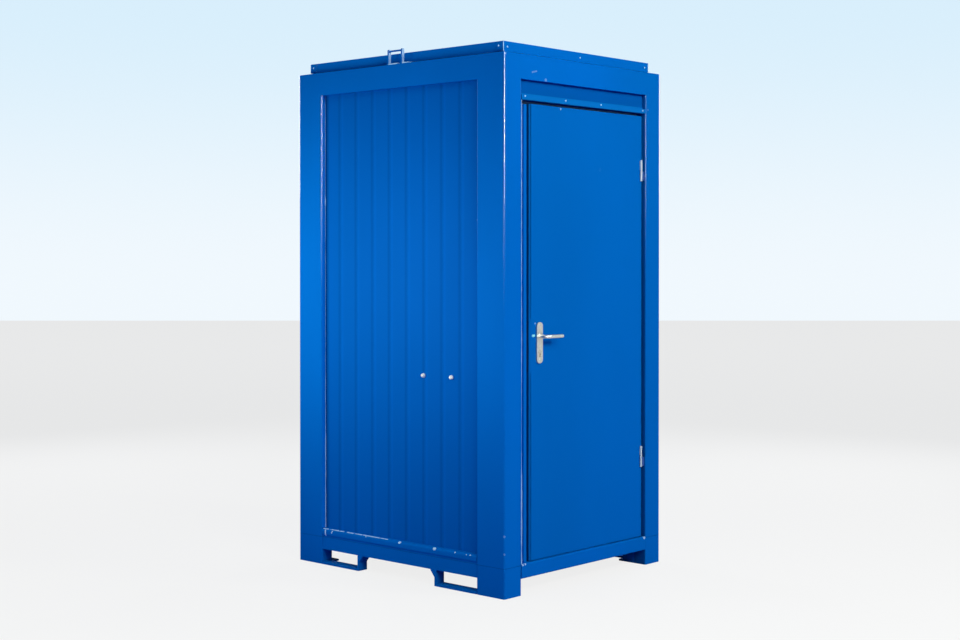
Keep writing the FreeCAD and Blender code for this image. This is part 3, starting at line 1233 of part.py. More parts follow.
def fittings():
    """The mirror, the paper holder with its roll, the ceiling light and the light switch."""
    wall = -wall_in
    y0, y1 = -basin_middle - mirror_wide / 2, -basin_middle + mirror_wide / 2
    keep(block("mirror_glass", (wall, y0, mirror_up),
               (wall + mirror_thick, y1, mirror_up + mirror_high)), "mirror")

    x = wall_in - roll_radius - 14
    ya, yb = -roll_back - roll_wide / 2, -roll_back + roll_wide / 2
    gap = length(1)
    plate = block("holder_plate", (wall_in - 5, ya - 14, roll_up - 30),
                  (wall_in, yb + 14, roll_up + 30))
    arms = [plate]
    for name, low in (("a", ya - gap - 5), ("b", yb + gap)):
        arms.append(block(f"holder_arm_{name}", (x - 14, low, roll_up - 14),
                          (wall_in - 5, low + 5, roll_up + 14)))
    arms.append(rod("holder_spindle", (x, ya - gap, roll_up), "y", roll_core - running_gap * 2,
                    roll_wide + gap * 2))
    keep(join("holder", arms), "paper_holder")
    paper = rod("roll_block", (x, ya, roll_up), "y", roll_radius, roll_wide)
    bore = rod("roll_bore", (x, ya - 1, roll_up), "y", roll_core, roll_wide + 2)
    keep(cut("roll_tube", paper, [bore]), "paper_roll")

    lamp = rod("lamp_base", (length(0), length(0), top_under - 18), "z", lamp_radius, length(18))
    glass = doc.addObject("Part::Cone", "lamp_glass")
    bind(glass, "Radius1", lamp_radius - 34)
    bind(glass, "Radius2", lamp_radius - 8)
    bind(glass, "Height", lamp_deep - 18)
    place(glass, (length(0), length(0), top_under - lamp_deep))
    keep(join("lamp", [lamp, glass]), "ceiling_light")

    half = switch_side / 2
    box = block("switch_case", (wall_in - switch_deep, -switch_back - half, switch_up - half),
                (wall_in, -switch_back + half, switch_up + half))
    well = block("switch_well", (wall_in - switch_deep - 1, -switch_back - 20.5, switch_up - 30.5),
                 (wall_in - 3, -switch_back + 20.5, switch_up + 30.5))
    trunnion = rod("switch_trunnion", (wall_in - switch_deep + 5, -switch_back - 20.5, switch_up),
                   "y", length(1.5), length(41))
    keep(join("switch_open", [cut("switch_hollow", box, [well]), trunnion]), "switch_box")
    axis_x = wall_in.value - switch_deep.value + 5
    y, z = -switch_back.value, switch_up.value
    plate = Part.makeBox(8, 40, 58, vec(axis_x - 5.5, y - 20, z - 29))
    hole = Part.makeCylinder(1.5 + running_gap.value, 42, vec(axis_x, y - 21, z), vec(0, 1, 0))
    rocker = plate.cut(hole)
    rocker.rotate(vec(axis_x, y, z), vec(0, 1, 0), rocker_tilt.value)
    keep(shaped("rocker_solid", rocker), "switch_rocker")


corner_posts()
base_beams()
fork_pockets()
top_beams()
roof()
lifting_brackets()
floor()
walls()
transom()
door_frame()
door_leaf()
hinges()
mortise_lock()
handle_set()
toilet()
cistern()
hand_basin()
fittings()
doc.recompute()

for item in doc.Objects:
    if "Invalid" in item.State or "Error" in item.State:
        raise SystemExit(f"{item.Label} failed: {item.State}")
for node, item in nodes.items():
    if item.Shape.isNull() or not item.Shape.isValid() or not item.Shape.Solids:
        raise SystemExit(f"{node} has no valid solid")

os.makedirs("parts", exist_ok=True)
for node, item in nodes.items():
    item.Shape.exportStep(f"parts/{node}.step")
    box = item.Shape.BoundBox
    print(f"{node:24s} solids {len(item.Shape.Solids)} "
          f"x {box.XMin:8.1f} {box.XMax:8.1f} y {box.YMin:8.1f} {box.YMax:8.1f} "
          f"z {box.ZMin:8.1f} {box.ZMax:8.1f} volume {item.Shape.Volume / 1e6:9.3f} l")
print(len(nodes), "nodes")
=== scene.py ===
"""Finishes and small parts of a portable toilet cabin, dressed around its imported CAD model.

Everything is in the row frame, in metres: +Z up, the door in the face at y -0.7, the hand basin
on the wall at x -0.6.
"""

import math
import random

import bpy
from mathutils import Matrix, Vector
from mathutils.bvhtree import BVHTree


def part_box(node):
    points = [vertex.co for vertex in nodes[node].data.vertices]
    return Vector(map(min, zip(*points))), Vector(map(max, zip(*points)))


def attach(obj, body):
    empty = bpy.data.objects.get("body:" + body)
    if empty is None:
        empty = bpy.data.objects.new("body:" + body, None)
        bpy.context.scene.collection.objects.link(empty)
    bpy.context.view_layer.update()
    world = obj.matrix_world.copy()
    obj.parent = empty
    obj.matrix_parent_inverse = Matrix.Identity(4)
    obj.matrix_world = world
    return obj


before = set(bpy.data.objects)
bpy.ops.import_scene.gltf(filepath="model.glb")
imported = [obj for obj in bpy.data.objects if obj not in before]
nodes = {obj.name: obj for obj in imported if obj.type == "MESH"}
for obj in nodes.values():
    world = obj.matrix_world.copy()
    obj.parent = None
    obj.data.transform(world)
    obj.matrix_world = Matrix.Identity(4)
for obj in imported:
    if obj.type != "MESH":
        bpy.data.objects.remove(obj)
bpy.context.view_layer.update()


# Shader building


class Signal:
    """A socket that carries a number; arithmetic on it adds Math nodes."""

    def __init__(self, tree, socket):
        self.tree, self.socket = tree, socket

    def math(self, operation, *values):
        new = self.tree.nodes.new("ShaderNodeMath")
        new.operation = operation
        for entry, value in zip(new.inputs, values):
            join_socket(self.tree, entry, value)
        return Signal(self.tree, new.outputs[0])

    def __add__(self, other):
        return self.math("ADD", self, other)

    def __sub__(self, other):
        return self.math("SUBTRACT", self, other)

    def __rsub__(self, other):
        return self.math("SUBTRACT", other, self)

    def __mul__(self, other):
        return self.math("MULTIPLY", self, other)

    def __truediv__(self, other):
        return self.math("DIVIDE", self, other)

    def __rtruediv__(self, other):
        return self.math("DIVIDE", other, self)

    def __pow__(self, other):
        return self.math("POWER", self, other)

    def __gt__(self, other):
        return self.math("GREATER_THAN", self, other)

    def __lt__(self, other):
        return self.math("LESS_THAN", self, other)

    def __abs__(self):
        return self.math("ABSOLUTE", self)

    __radd__ = __add__
    __rmul__ = __mul__

    def least(self, other):
        return self.math("MINIMUM", self, other)

    def most(self, other):
        return self.math("MAXIMUM", self, other)


def join_socket(tree, entry, value):
    """Feeds a link, a number, a vector or a colour into a socket."""
    if isinstance(value, Signal):
        tree.links.new(value.socket, entry)
    elif isinstance(value, (tuple, list)) and len(value) == 3 and entry.type == "RGBA":
        entry.default_value = (*value, 1)
    else:
        entry.default_value = value


def distance(first, second):
    """How far a point is from an axis, from its two offsets."""
    return (first ** 2.0 + second ** 2.0) ** 0.5


class Finish:
    """One finish: a node tree with the mixes, noises and masks that vary it."""

    def __init__(self, tree):
        self.tree = tree

    def node(self, kind, settings=None, sockets=None, output=0):
        new = self.tree.nodes.new(kind)
        for name, value in (settings or {}).items():
            setattr(new, name, value)
        for key, value in (sockets or {}).items():
            join_socket(self.tree, new.inputs[key], value)
        return Signal(self.tree, new.outputs[output]) if len(new.outputs) else None

    def parts(self, vector):
        """The three numbers of a vector."""
        apart = self.node("ShaderNodeSeparateXYZ", sockets={0: vector}).socket.node
        return [Signal(self.tree, number) for number in apart.outputs]

    def place(self):
        """The object's own x, y and z, which are the row frame's."""
        if not hasattr(self, "spot"):
            self.spot = self.node("ShaderNodeTexCoord", output="Object")
            self.xyz = self.parts(self.spot)
        return self.xyz

    def facing(self):
        """The surface normal's x, y and z in the object's frame."""
        if not hasattr(self, "sides"):
            self.sides = self.parts(self.node("ShaderNodeTexCoord", output="Normal"))
        return self.sides

    def noise(self, scale, detail=2, stretch=(1, 1, 1), rough=0.5):
        """Noise in metres: scale is how many bumps there are to the metre."""
        self.place()
        where = self.node("ShaderNodeVectorMath", {"operation": "MULTIPLY"},
                          {0: self.spot, 1: stretch})
        return self.node("ShaderNodeTexNoise", sockets={
            "Vector": where, "Scale": scale, "Detail": detail, "Roughness": rough})

    def ramp(self, value, low, high, start=0, end=1):
        """start below low, end above high, and a smooth step between."""
        return self.node("ShaderNodeMapRange", {"interpolation_type": "SMOOTHSTEP"},
                         {"Value": value, "From Min": low, "From Max": high,
                          "To Min": start, "To Max": end})

    def blend(self, share, first, second):
        """A colour from first to second as share goes from 0 to 1."""
        return self.node("ShaderNodeMix", {"data_type": "RGBA"},
                         {0: share, 6: first, 7: second}, 2)

    def shade(self, colour, share):
        """A colour made darker or lighter by a varying share."""
        grey = self.node("ShaderNodeCombineXYZ", sockets={0: share, 1: share, 2: share})
        return self.node("ShaderNodeMix", {"data_type": "RGBA", "blend_type": "MULTIPLY"},
                         {0: 1.0, 6: colour, 7: grey}, 2)

    def band(self, value, middle, half):
        """1 within half of the middle, and 0 elsewhere."""
        return abs(value - middle) < half

    def spots(self, places):
        """1 on rough-edged marks, each given as its x, y, z and its reach in metres."""
        ragged = self.noise(160, 3)
        total = None
        for *centre, reach in places:
            away = self.node("ShaderNodeVectorMath", {"operation": "DISTANCE"},
                             {0: self.spot, 1: tuple(centre)}, "Value")
            mark = away + ragged * reach < reach * 1.4
            total = mark if total is None else total.most(mark)
        return total


class Surface(Finish):
    """A material with one Principled shader."""

    def __init__(self, name, colour, **sockets):
        self.material = bpy.data.materials.new(name)
        self.material.use_nodes = True
        super().__init__(self.material.node_tree)
        self.shader = self.tree.nodes["Principled BSDF"]
        self.set("Base Color", colour)
        for key, value in sockets.items():
            self.set(key.replace("_", " "), value)

    def set(self, key, value):
        join_socket(self.tree, self.shader.inputs[key], value)

    def bump(self, height, metres):
        """Small unevenness: metres is how deep it is for a height of 1."""
        self.set("Normal", self.node("ShaderNodeBump", sockets={
            "Height": height, "Distance": metres, "Strength": 1.0}))


# Finishes

CABIN_BLUE = (0.0004, 0.132, 0.53)
WALL_BLUE = (0.0004, 0.106, 0.458)
LESS_BLUE = (0.0004, 0.125, 0.475)
TRANSOM_BLUE = (0.0004, 0.090, 0.38)
LEDGE_BLUE = (0.002, 0.145, 0.49)
# the pale of worn paint, also used for painted highlights on the frame's bends and brackets
PALE_WEAR_AND_HIGHLIGHT = (0.55, 0.76, 0.95)
INNER_WHITE = (0.78, 0.79, 0.78)
ROOF_DUST = (0.30, 0.36, 0.42)
PAINT_SHINE, PAINT_ROUGH = 0.0015, 0.38
# the slight orange peel of sprayed sheet: bumps to the metre and their height
PEEL_BUMPS, PEEL_HEIGHT = 360, 0.00012
# grooves of the wall sheets, measured from the middle of the wall
RIB_PITCH, RIB_START = 0.1175, 0.05875
# the weld seam round each post's foot, and the worn line on the base rail: height, half width
FOOT_SEAM, RAIL_WEAR = (0.138, 0.0011), (0.1805, 0.0012)
# what is in front of the first plane is the cabin's front, what is behind the second its rear
FRONT_PLANE, REAR_PLANE = -0.6, 0.6
# how far the room's white reaches past the plane of a lining
PLANE_SLACK = 0.0006

post_low, post_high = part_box("post_front_left")
left_x, front_y, post_top = post_low.x, post_low.y, post_high.z
post_x, post_y = -post_high.x, -post_high.y
wall_out_x, wall_in_x = (-corner.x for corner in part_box("wall_panel_left"))
rear_in_y, rear_out_y = (corner.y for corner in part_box("wall_panel_rear"))
leaf_low, leaf_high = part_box("door_leaf")
rail_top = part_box("base_beam_left")[1].z
beam_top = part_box("top_beam_left")[1].z


def painted(name, colour=CABIN_BLUE):
    """Sprayed steel: an even coat with a faint drift of tone."""
    paint = Surface(name, colour, Roughness=PAINT_ROUGH, Specular_IOR_Level=PAINT_SHINE)
    drift = paint.noise(1.7, 3, (1, 1, 0.4))
    paint.colour = paint.shade(colour, paint.ramp(drift, 0.3, 0.7, 0.965, 1.035))
    return paint


def bends(paint):
    """1 on the upright rounded bends of folded steel, 0 on its flats and near the ground."""
    nx, ny, nz = paint.facing()
    height = paint.place()[2]
    return paint.ramp(abs(nx * ny), 0.12, 0.34) * (abs(nz) < 0.5) * paint.ramp(height, 1.25, 2.1)


RAIL_CHIPS = [(left_x, 0.211, 0.180, 0.006), (left_x, -0.025, 0.180, 0.010),
              (left_x, -0.258, 0.179, 0.011), (left_x, -0.392, 0.178, 0.006),
              (left_x, -0.464, 0.177, 0.005), (left_x, -0.488, 0.177, 0.005)]
# on the near post's foot and along the top of the front
FAINT_MARKS = [(-0.598, -0.698, 0.286, 0.007), (-0.598, -0.698, 0.205, 0.006),
               (0.497, front_y, 2.296, 0.005), (-0.308, front_y, 2.378, 0.009)]
FAINT_MARKS += [(-0.405 + 0.006 * i, front_y, 2.406 + 0.0014 * i, 0.0045) for i in range(6)]
# on the front's top corner and at both ends of the base beam
FRAME_MARKS = [(-0.594, front_y, 2.476, 0.005), (-0.470, front_y, 0.141, 0.008),
               (-0.452, front_y, 0.1415, 0.006), (0.450, -0.692, 0.176, 0.010),
               (0.460, -0.695, 0.155, 0.009), (0.470, front_y, 0.138, 0.008)]
# sealant smeared down and along the rail beside the rear post
RAIL_DAUBS = [(left_x, 0.504 - 0.0004 * i, 0.182 - 0.0075 * i, 0.005) for i in range(6)]
RAIL_DAUBS += [(left_x, 0.496 - 0.012 * i, 0.1435 - 0.0005 * i, 0.004) for i in range(5)]
RAIL_DAUBS += [(-0.59, 0.458, 0.181, 0.004), (left_x, 0.453, 0.174, 0.005),
               (left_x, 0.457, 0.166, 0.004)]


def room_side(x, y, z):
    """1 on the faces that line the room, behind the plane of the closed door."""
    return ((abs(x) < wall_in_x + PLANE_SLACK) * (y < rear_in_y + PLANE_SLACK)
            * (y > leaf_high.y - 0.0007) * (z > rail_top * 0.5))


def frame_finish():
    """The frame's paint: less blue towards the hinge side, chipped and smeared outside with painted
    highlights on its bends and painted light on the rear posts' returns, white towards the room.
    """
    paint = painted("frame_paint_blue")
    x, y, z = paint.place()
    nx, ny = paint.facing()[:2]
    bend = bends(paint)
    # the front turns a less blue tone towards its hinge side
    less_blue_share = paint.ramp(x, 0, 0.45) * (y < FRONT_PLANE)
    colour = paint.blend(less_blue_share, paint.colour, LESS_BLUE)
    # the hinge jamb's return lies in the gap's shade
    hinge_return = (nx < -0.8) * (x > 0.39) * (y < -0.63) * paint.ramp(z, 1.2, 2.2, 0.4, 0.2)
    foot_seam = paint.band(z, *FOOT_SEAM) * (abs(x) > post_x - 0.0005)
    # painted light: the rear posts' returns that face the front are painted lighter, as if lit from the
    # front left
    lit_returns = (ny < -0.8) * (y > 0.5) * (y < 0.54) * (abs(x) > wall_out_x - 0.001)
    lit_returns = lit_returns * (z > rail_top + 0.001)
    colour = paint.shade(colour, (1 - foot_seam * 0.35) * (1 + lit_returns * 0.3) * (1 - hinge_return))
    # pale chips on the bends, partly wear and partly painted highlight: with the bends' mask they fade
    # out from 2.1 m down to 1.25 m
    chips = paint.ramp(paint.noise(38, 4), 0.66, 0.72) * bend * 0.5
    rail_wear = (paint.band(z, *RAIL_WEAR) * (abs(x) > wall_out_x + 0.001) * (y > 0.06) * (y < 0.525)
                 * paint.ramp(paint.noise(24, 3, (1, 1, 0.2)), 0.40, 0.50))
    # painted highlight and wear: the lifting brackets' faces towards the front, above the beams, are
    # painted pale
    ear_wear_and_highlight = (z > beam_top + 0.002) * (ny < -0.8)
    wear_and_highlights = chips.most(rail_wear * 0.8).most(ear_wear_and_highlight * 0.55)
    wear_and_highlights = wear_and_highlights.most(paint.spots(RAIL_CHIPS + RAIL_DAUBS) * 0.85)
    wear_and_highlights = wear_and_highlights.most(paint.spots(FRAME_MARKS) * 0.6).most(paint.spots(FAINT_MARKS) * 0.2)
    inside = room_side(x, y, z)
    colour = paint.blend(wear_and_highlights, colour, PALE_WEAR_AND_HIGHLIGHT)
    paint.set("Base Color", paint.blend(inside, colour, INNER_WHITE))
    hinge_side = 1 - (x > 0.4) * 0.6
    paint.set("Coat Weight", bend * (1 - inside) * hinge_side)
    paint.set("Coat Roughness", 0.11)
    paint.bump(paint.noise(420, 1) * 0.5 - foot_seam * 3, 0.00025)
    return paint.material


def panel_finish(name, tone, marks=(), edge_shade=0.0):
    """Coated sheet: blue outside with painted light and shade, white on the faces that show inside the
    cabin.
    """
    paint = painted(name, tone)
    x, y, z = paint.place()
    inside = room_side(x, y, z)
    # painted light and shade: a lighter stripe on one side of each groove of the wall sheets and a
    # darker one on the other, as their flanks would take light from the front
    across = x * (y > REAR_PLANE) + y * (y < REAR_PLANE)
    groove = (across - RIB_START) / RIB_PITCH
    off = (groove - groove.math("ROUND", groove)) * RIB_PITCH
    swell = (paint.ramp(abs(off + 0.010), 0, 0.013, 0.10, 0)
             - paint.ramp(abs(off - 0.013), 0, 0.014, 0.17, 0)) * (y > FRONT_PLANE)
    # painted shadow: the left wall is darkened where it meets the rear post, which shades it
    corner = (y > 0) * (x < -0.5) * (y < post_y - 0.0003)
    corner_shadow = paint.ramp(y, 0.492, 0.524) * corner * 0.55
    # painted shade: faces that look along x, such as the leaf's edges in the gap beside the frame, are
    # darkened by edge_shade
    edges = (abs(paint.facing()[0]) > 0.8) * edge_shade
    colour = paint.shade(paint.colour, (swell + (1 - corner_shadow)) * (1 - edges))
    for places, strength, shown in marks:
        colour = paint.blend(paint.spots(places) * strength, colour, shown)
    paint.set("Base Color", paint.blend(inside, colour, INNER_WHITE))
    paint.bump(paint.noise(PEEL_BUMPS, 1), PEEL_HEIGHT)
    return paint.material


def roof_finish():
    """The roof's paint, with dust that has settled on its level faces."""
    paint = painted("roof_paint_blue")
    top = paint.ramp(paint.facing()[2], 0.7, 0.95)
    dust = paint.ramp(paint.noise(5.5, 5), 0.42, 0.72) * top
    paint.set("Base Color", paint.blend(dust * 0.22, paint.colour, ROOF_DUST))
    paint.set("Roughness", dust * 0.25 + PAINT_ROUGH)
    paint.set("Coat Weight", bends(paint) * 0.8)
    paint.set("Coat Roughness", 0.18)
    paint.bump(paint.noise(300, 2), 0.0002)
    return paint.material


def brushed_finish(name, colour, rough, along=(1, 1, 1), streak=900):
    """Metal with fine lines along the direction whose stretch is small."""
    metal = Surface(name, colour, Metallic=1.0)
    lines = metal.noise(streak, 2, along)
    metal.set("Roughness", metal.ramp(lines, 0.3, 0.7, rough - 0.06, rough + 0.08))
    metal.set("Base Color", metal.shade(colour, metal.ramp(lines, 0.3, 0.7, 0.93, 1.04)))
    metal.bump(lines, 0.00004)
    return metal.material


def plain_finish(name, colour, rough, grain=0.0, shine=0.5, size=300, **sockets):
    """One colour with a faint drift; grain is the height of its small bumps."""
    skin = Surface(name, colour, Roughness=rough, Specular_IOR_Level=shine, **sockets)
    drift = skin.noise(14, 3)
    skin.set("Base Color", skin.shade(colour, skin.ramp(drift, 0.3, 0.7, 0.97, 1.02)))
    if grain:
        skin.bump(skin.noise(size, 3), grain)
    return skin.material


def floor_vinyl_finish():
    """Safety vinyl: grey, with pale and dark chips."""
    vinyl = Surface("floor_vinyl_grey", (0.2, 0.2, 0.2), Roughness=0.42)
    chips = vinyl.ramp(vinyl.noise(260, 1), 0.62, 0.66)
    darker = vinyl.ramp(vinyl.noise(190, 1), 0.66, 0.7)
    colour = vinyl.blend(chips, (0.245, 0.25, 0.255), (0.42, 0.43, 0.44))
    vinyl.set("Base Color", vinyl.blend(darker * 0.8, colour, (0.10, 0.105, 0.11)))
    vinyl.bump(vinyl.noise(700, 2), 0.0002)
    return vinyl.material


def tissue_finish():
    """Wound paper: fine layers on the roll's ends round its card core, and a soft surface."""
    white, card = (0.83, 0.82, 0.80), (0.42, 0.30, 0.19)
    layer_waves, core_radius, end_depth = 9000, 0.0225, 0.0008
    paper = Surface("tissue_white", white, Roughness=0.9)
    x, y, z = paper.place()
    low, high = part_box("paper_roll")
    middle = (low + high) / 2
    out = distance(x - middle.x, z - middle.z)
    layers = out.math("SINE", out * layer_waves)
    end = (y < low.y + end_depth).most(y > high.y - end_depth)
    core = (out < core_radius) * end
    colour = paper.shade(white, paper.ramp(layers, -1, 1, 0.9, 1.0) * end + (1 - end))
    paper.set("Base Color", paper.blend(core, colour, card))
    paper.bump(paper.noise(900, 2), 0.0003)
    return paper.material


def ceramic_finish():
    """Glazed sanitary ware."""
    glaze = Surface("sanitary_ware_white", (0.80, 0.80, 0.785), Roughness=0.12,
                    Coat_Weight=0.4, Coat_Roughness=0.06)
    return glaze.material


FINISHES = {
    "frame_paint": frame_finish(),
    "panel_paint": panel_finish("panel_paint_blue_and_white", WALL_BLUE),
    "roof_paint": roof_finish(),
    "ceiling_sheet": plain_finish("ceiling_sheet_white", (0.78, 0.79, 0.79), 0.5, 0.0001, 0.3),
    "floor_board": plain_finish("floor_board_grey", (0.10, 0.09, 0.08), 0.8, 0.0006, 0.3, 90),
    "floor_vinyl": floor_vinyl_finish(),
    "seal_rubber": plain_finish("seal_rubber_black", (0.006, 0.010, 0.022), 0.7, 0.0002, 0.2),
    "stainless": brushed_finish("stainless_brushed", (0.60, 0.585, 0.55), 0.3, (1, 1, 0.04)),
    "lock_steel": brushed_finish("lock_steel_zinc", (0.62, 0.63, 0.65), 0.34, (1, 1, 0.1)),
    "cylinder_brass": brushed_finish("cylinder_brass_nickel", (0.50, 0.45, 0.37), 0.28),
    "sanitary_ware": ceramic_finish(),
    "white_plastic": plain_finish("white_plastic", (0.79, 0.79, 0.775), 0.28, 0.00006),
    "pipe_plastic": plain_finish("pipe_plastic_grey", (0.25, 0.255, 0.26), 0.4, 0.0001),
    "chrome_plate": brushed_finish("chrome_plate", (0.83, 0.84, 0.85), 0.12, streak=60),
    "mirror_glass": plain_finish("mirror_glass", (0.9, 0.92, 0.92), 0.02, Metallic=1.0),
    "tissue": tissue_finish(),
}
# marks on the leaf: their places, how strongly they cover, and their colour
LEAF_MARKS = [([(-0.381, leaf_low.y, 1.189, 0.007), (-0.372, leaf_low.y, 1.190, 0.006)], 0.9,
               (0.27, 0.76, 0.82)),
              ([(-0.178, leaf_low.y, 2.253, 0.006), (-0.366, leaf_low.y, 1.246, 0.005)], 0.5, PALE_WEAR_AND_HIGHLIGHT),
              ([(0.124, leaf_low.y, 1.979, 0.012)], 0.3, (0.02, 0.17, 0.55))]


def hinge_finish():
    """Pale zinc on the barrels, and the frame's paint on the flaps that carry them."""
    pale = (0.55, 0.62, 0.66)
    zinc = Surface("hinge_zinc_pale", pale, Roughness=0.4)
    x, y = zinc.place()[:2]
    low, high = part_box("hinge_barrels_leaf")
    flap = (x > low.x + 0.0112).most(y > high.y + 0.0003)
    zinc.set("Base Color", zinc.blend(flap, pale, (0.0004, 0.05, 0.25)))
    zinc.bump(zinc.noise(300, 3), 0.0001)
    return zinc.material


ZINC_PALE = hinge_finish()
# painted shade: the lock's case and bolts and the strike plate are near black, as they lie in the shade
# of the gap beside the leaf
LOCK_IN_SHADE = plain_finish("lock_steel_painted_shade", (0.012, 0.03, 0.08), 0.6, 0.0001, 0.1)


def bolt_finish():
    """Pale plastic caps on washers that were painted over with the wall."""
    pale, cap_radius, end_inset = (0.86, 0.84, 0.78), 0.0096, 0.012
    cap = Surface("bolt_cap_pale", pale, Roughness=0.3)
    x, y, z = cap.place()
    low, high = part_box("basin_bolts")
    middle_z = (low.z + high.z) / 2
    washer = x < -0.57
    for middle_y in (low.y + end_inset, high.y - end_inset):
        washer = (distance(y - middle_y, z - middle_z) > cap_radius) * washer
    cap.set("Base Color", cap.blend(washer, pale, WALL_BLUE))
    cap.bump(cap.noise(300, 2), 0.0001)
    return cap.material


def ledge_finish():
    """The ledge over the door; the strip along its top has the transom's tone."""
    # painted light: the ledge is a lighter tone than the frame, for the light that a sloping ledge
    # catches from above
    paint = painted("ledge_paint_blue", LEDGE_BLUE)
    strip = paint.place()[2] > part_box("drip_ledge")[1].z - 0.009
    paint.set("Base Color", paint.blend(strip, paint.colour, TRANSOM_BLUE))
    paint.bump(paint.noise(PEEL_BUMPS, 1), PEEL_HEIGHT)
    return paint.material


OWN_FINISH = {"basin_bolts": bolt_finish(),
              "transom_panel": panel_finish("transom_paint_blue_and_white", TRANSOM_BLUE),
              "drip_ledge": ledge_finish(),
              "door_leaf": panel_finish("leaf_paint_blue_and_white", LESS_BLUE, LEAF_MARKS, 0.6),
              "hinge_barrels_fixed": ZINC_PALE, "hinge_barrels_leaf": ZINC_PALE,
              "lock_case": LOCK_IN_SHADE, "latch_bolt": LOCK_IN_SHADE, "dead_bolt": LOCK_IN_SHADE}


# bends of less than this are shaded smooth, and edges of more are rounded
SHARP_ANGLE = math.radians(35)
NODE_EDGE = 0.0008


def soften(thing, edge):
    """Takes the sharpness off a part's edges, with its flats shaded flat and its bends smooth."""
    mesh = thing.data
    if "custom_normal" in mesh.attributes:
        mesh.attributes.remove(mesh.attributes["custom_normal"])
    mesh.shade_smooth()
    mesh.set_sharp_from_angle(angle=SHARP_ANGLE)
    weld = thing.modifiers.new("join_faces", "WELD")
    weld.merge_threshold = 0.00002
    if edge:
        round_edge = thing.modifiers.new("soft_edges", "BEVEL")
        round_edge.width = edge
        round_edge.segments = 2
        round_edge.limit_method = "ANGLE"
        round_edge.angle_limit = SHARP_ANGLE
    flats = thing.modifiers.new("flat_faces", "WEIGHTED_NORMAL")
    flats.keep_sharp = True
    flats.mode = "FACE_AREA"


# folded and flat sheets keep their own sharp edges
SHEETS = ["door_leaf", "roof_cap", "ceiling_panel", "floor_panel", "floor_sheet", "door_jamb_lock",
          "door_jamb_hinge", "door_head", "transom_panel", "drip_ledge", "mirror", "door_seal"]
SHEETS += [name for name in nodes
           if name.startswith(("wall_panel", "post_", "base_beam", "top_beam", "fork_"))]
for node_name, node in nodes.items():
    slot_name = node.data.materials[0].name.split(".")[0]
    node.data.materials.clear()
    node.data.materials.append(OWN_FINISH.get(node_name, FINISHES[slot_name]))
    if node_name not in SHEETS:
        soften(node, NODE_EDGE)


# Small pieces


class Shape:
    """A piece's mesh, gathered from simple solids."""

    def __init__(self):
        self.points, self.faces = [], []

    def add(self, points, faces):
        first = len(self.points)
        self.points += [Vector(point) for point in points]
        self.faces += [[first + i for i in face] for face in faces]
        return self

    def block(self, low, high):
        corners = [(x, y, z) for z in (low[2], high[2]) for y in (low[1], high[1])
                   for x in (low[0], high[0])]
        return self.add(corners, [(0, 2, 3, 1), (4, 5, 7, 6), (0, 1, 5, 4), (2, 6, 7, 3),
                                  (0, 4, 6, 2), (1, 3, 7, 5)])

    def prism(self, outline, along):
        """An outline of points, drawn out along a vector."""
        count = len(outline)
        points = [Vector(point) for point in outline]
        points += [point + Vector(along) for point in points]
        sides = [(i, (i + 1) % count, (i + 1) % count + count, i + count) for i in range(count)]
        return self.add(points, sides + [range(count)[::-1], range(count, 2 * count)])

    def turned(self, outline, centre, axis, sides=24, caps=True):
        """A turned solid; the outline gives radius and distance along the axis."""
        axis = Vector(axis).normalized()
        across = axis.orthogonal().normalized()
        beside = axis.cross(across)
        points, rings, faces = [], [], []
        for radius, out in outline:
            turns = [math.tau * i / sides for i in range(sides if radius else 1)]
            rings.append(range(len(points), len(points) + len(turns)))
            points += [Vector(centre) + axis * out
                       + (across * math.cos(turn) + beside * math.sin(turn)) * radius
                       for turn in turns]
        for low, high in zip(rings, rings[1:]):
            for i in range(sides):
                j = (i + 1) % sides
                quad = (low[i % len(low)], low[j % len(low)],
                        high[j % len(high)], high[i % len(high)])
                faces.append(list(dict.fromkeys(quad)))
        if caps:
            faces += [ring for ring in (rings[0][::-1], rings[-1]) if len(ring) > 2]
        return self.add(points, faces)

    def tube(self, route, radii, sides=12):
        """A round bar along a route, with one radius for each of its points."""
        route = [Vector(point) for point in route]
        across = (route[1] - route[0]).orthogonal()
        points = []
        for i, (point, radius) in enumerate(zip(route, radii)):
            heading = (route[min(i + 1, len(route) - 1)] - route[max(i - 1, 0)]).normalized()
            across = (across - heading * across.dot(heading)).normalized()
            beside = heading.cross(across)
            points += [point + (across * math.cos(math.tau * k / sides)
                                + beside * math.sin(math.tau * k / sides)) * radius
                       for k in range(sides)]
        last = (len(route) - 1) * sides
        faces = [(i + k, i + (k + 1) % sides, i + sides + (k + 1) % sides, i + sides + k)
                 for i in range(0, last, sides) for k in range(sides)]
        return self.add(points, faces + [range(sides)[::-1], range(last, last + sides)])

    def make(self, name, slot, body, finish, edge=0):
        """Puts the piece on its body; edge is how far its edges are rounded."""
        mesh = bpy.data.meshes.new(name)
        mesh.from_pydata(self.points, [], [list(face) for face in self.faces])
        mesh.materials.append(finish)
        piece = bpy.data.objects.new(name, mesh)
        bpy.context.scene.collection.objects.link(piece)
        soften(piece, edge)
        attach(piece, body)


def rounded(route, reach, steps=6):
    """A route whose corners are turned into arcs that start reach before them."""
    route = [Vector(point) for point in route]
    smooth = [route[0]]
    for before, corner, after in zip(route, route[1:], route[2:]):
        start = corner + (before - corner).normalized() * reach
        end = corner + (after - corner).normalized() * reach
        for share in (i / steps for i in range(steps + 1)):
            smooth.append(start * (1 - share) ** 2 + corner * (2 * share * (1 - share))
                          + end * share ** 2)
    return smooth + [route[-1]]


def meets(name, point, along):
    """Where a line from a point first meets a CAD node."""
    mesh = nodes[name].data
    tree = BVHTree.FromPolygons([v.co for v in mesh.vertices],
                                [list(face.vertices) for face in mesh.polygons])
    return tree.ray_cast(Vector(point), Vector(along).normalized())[0]


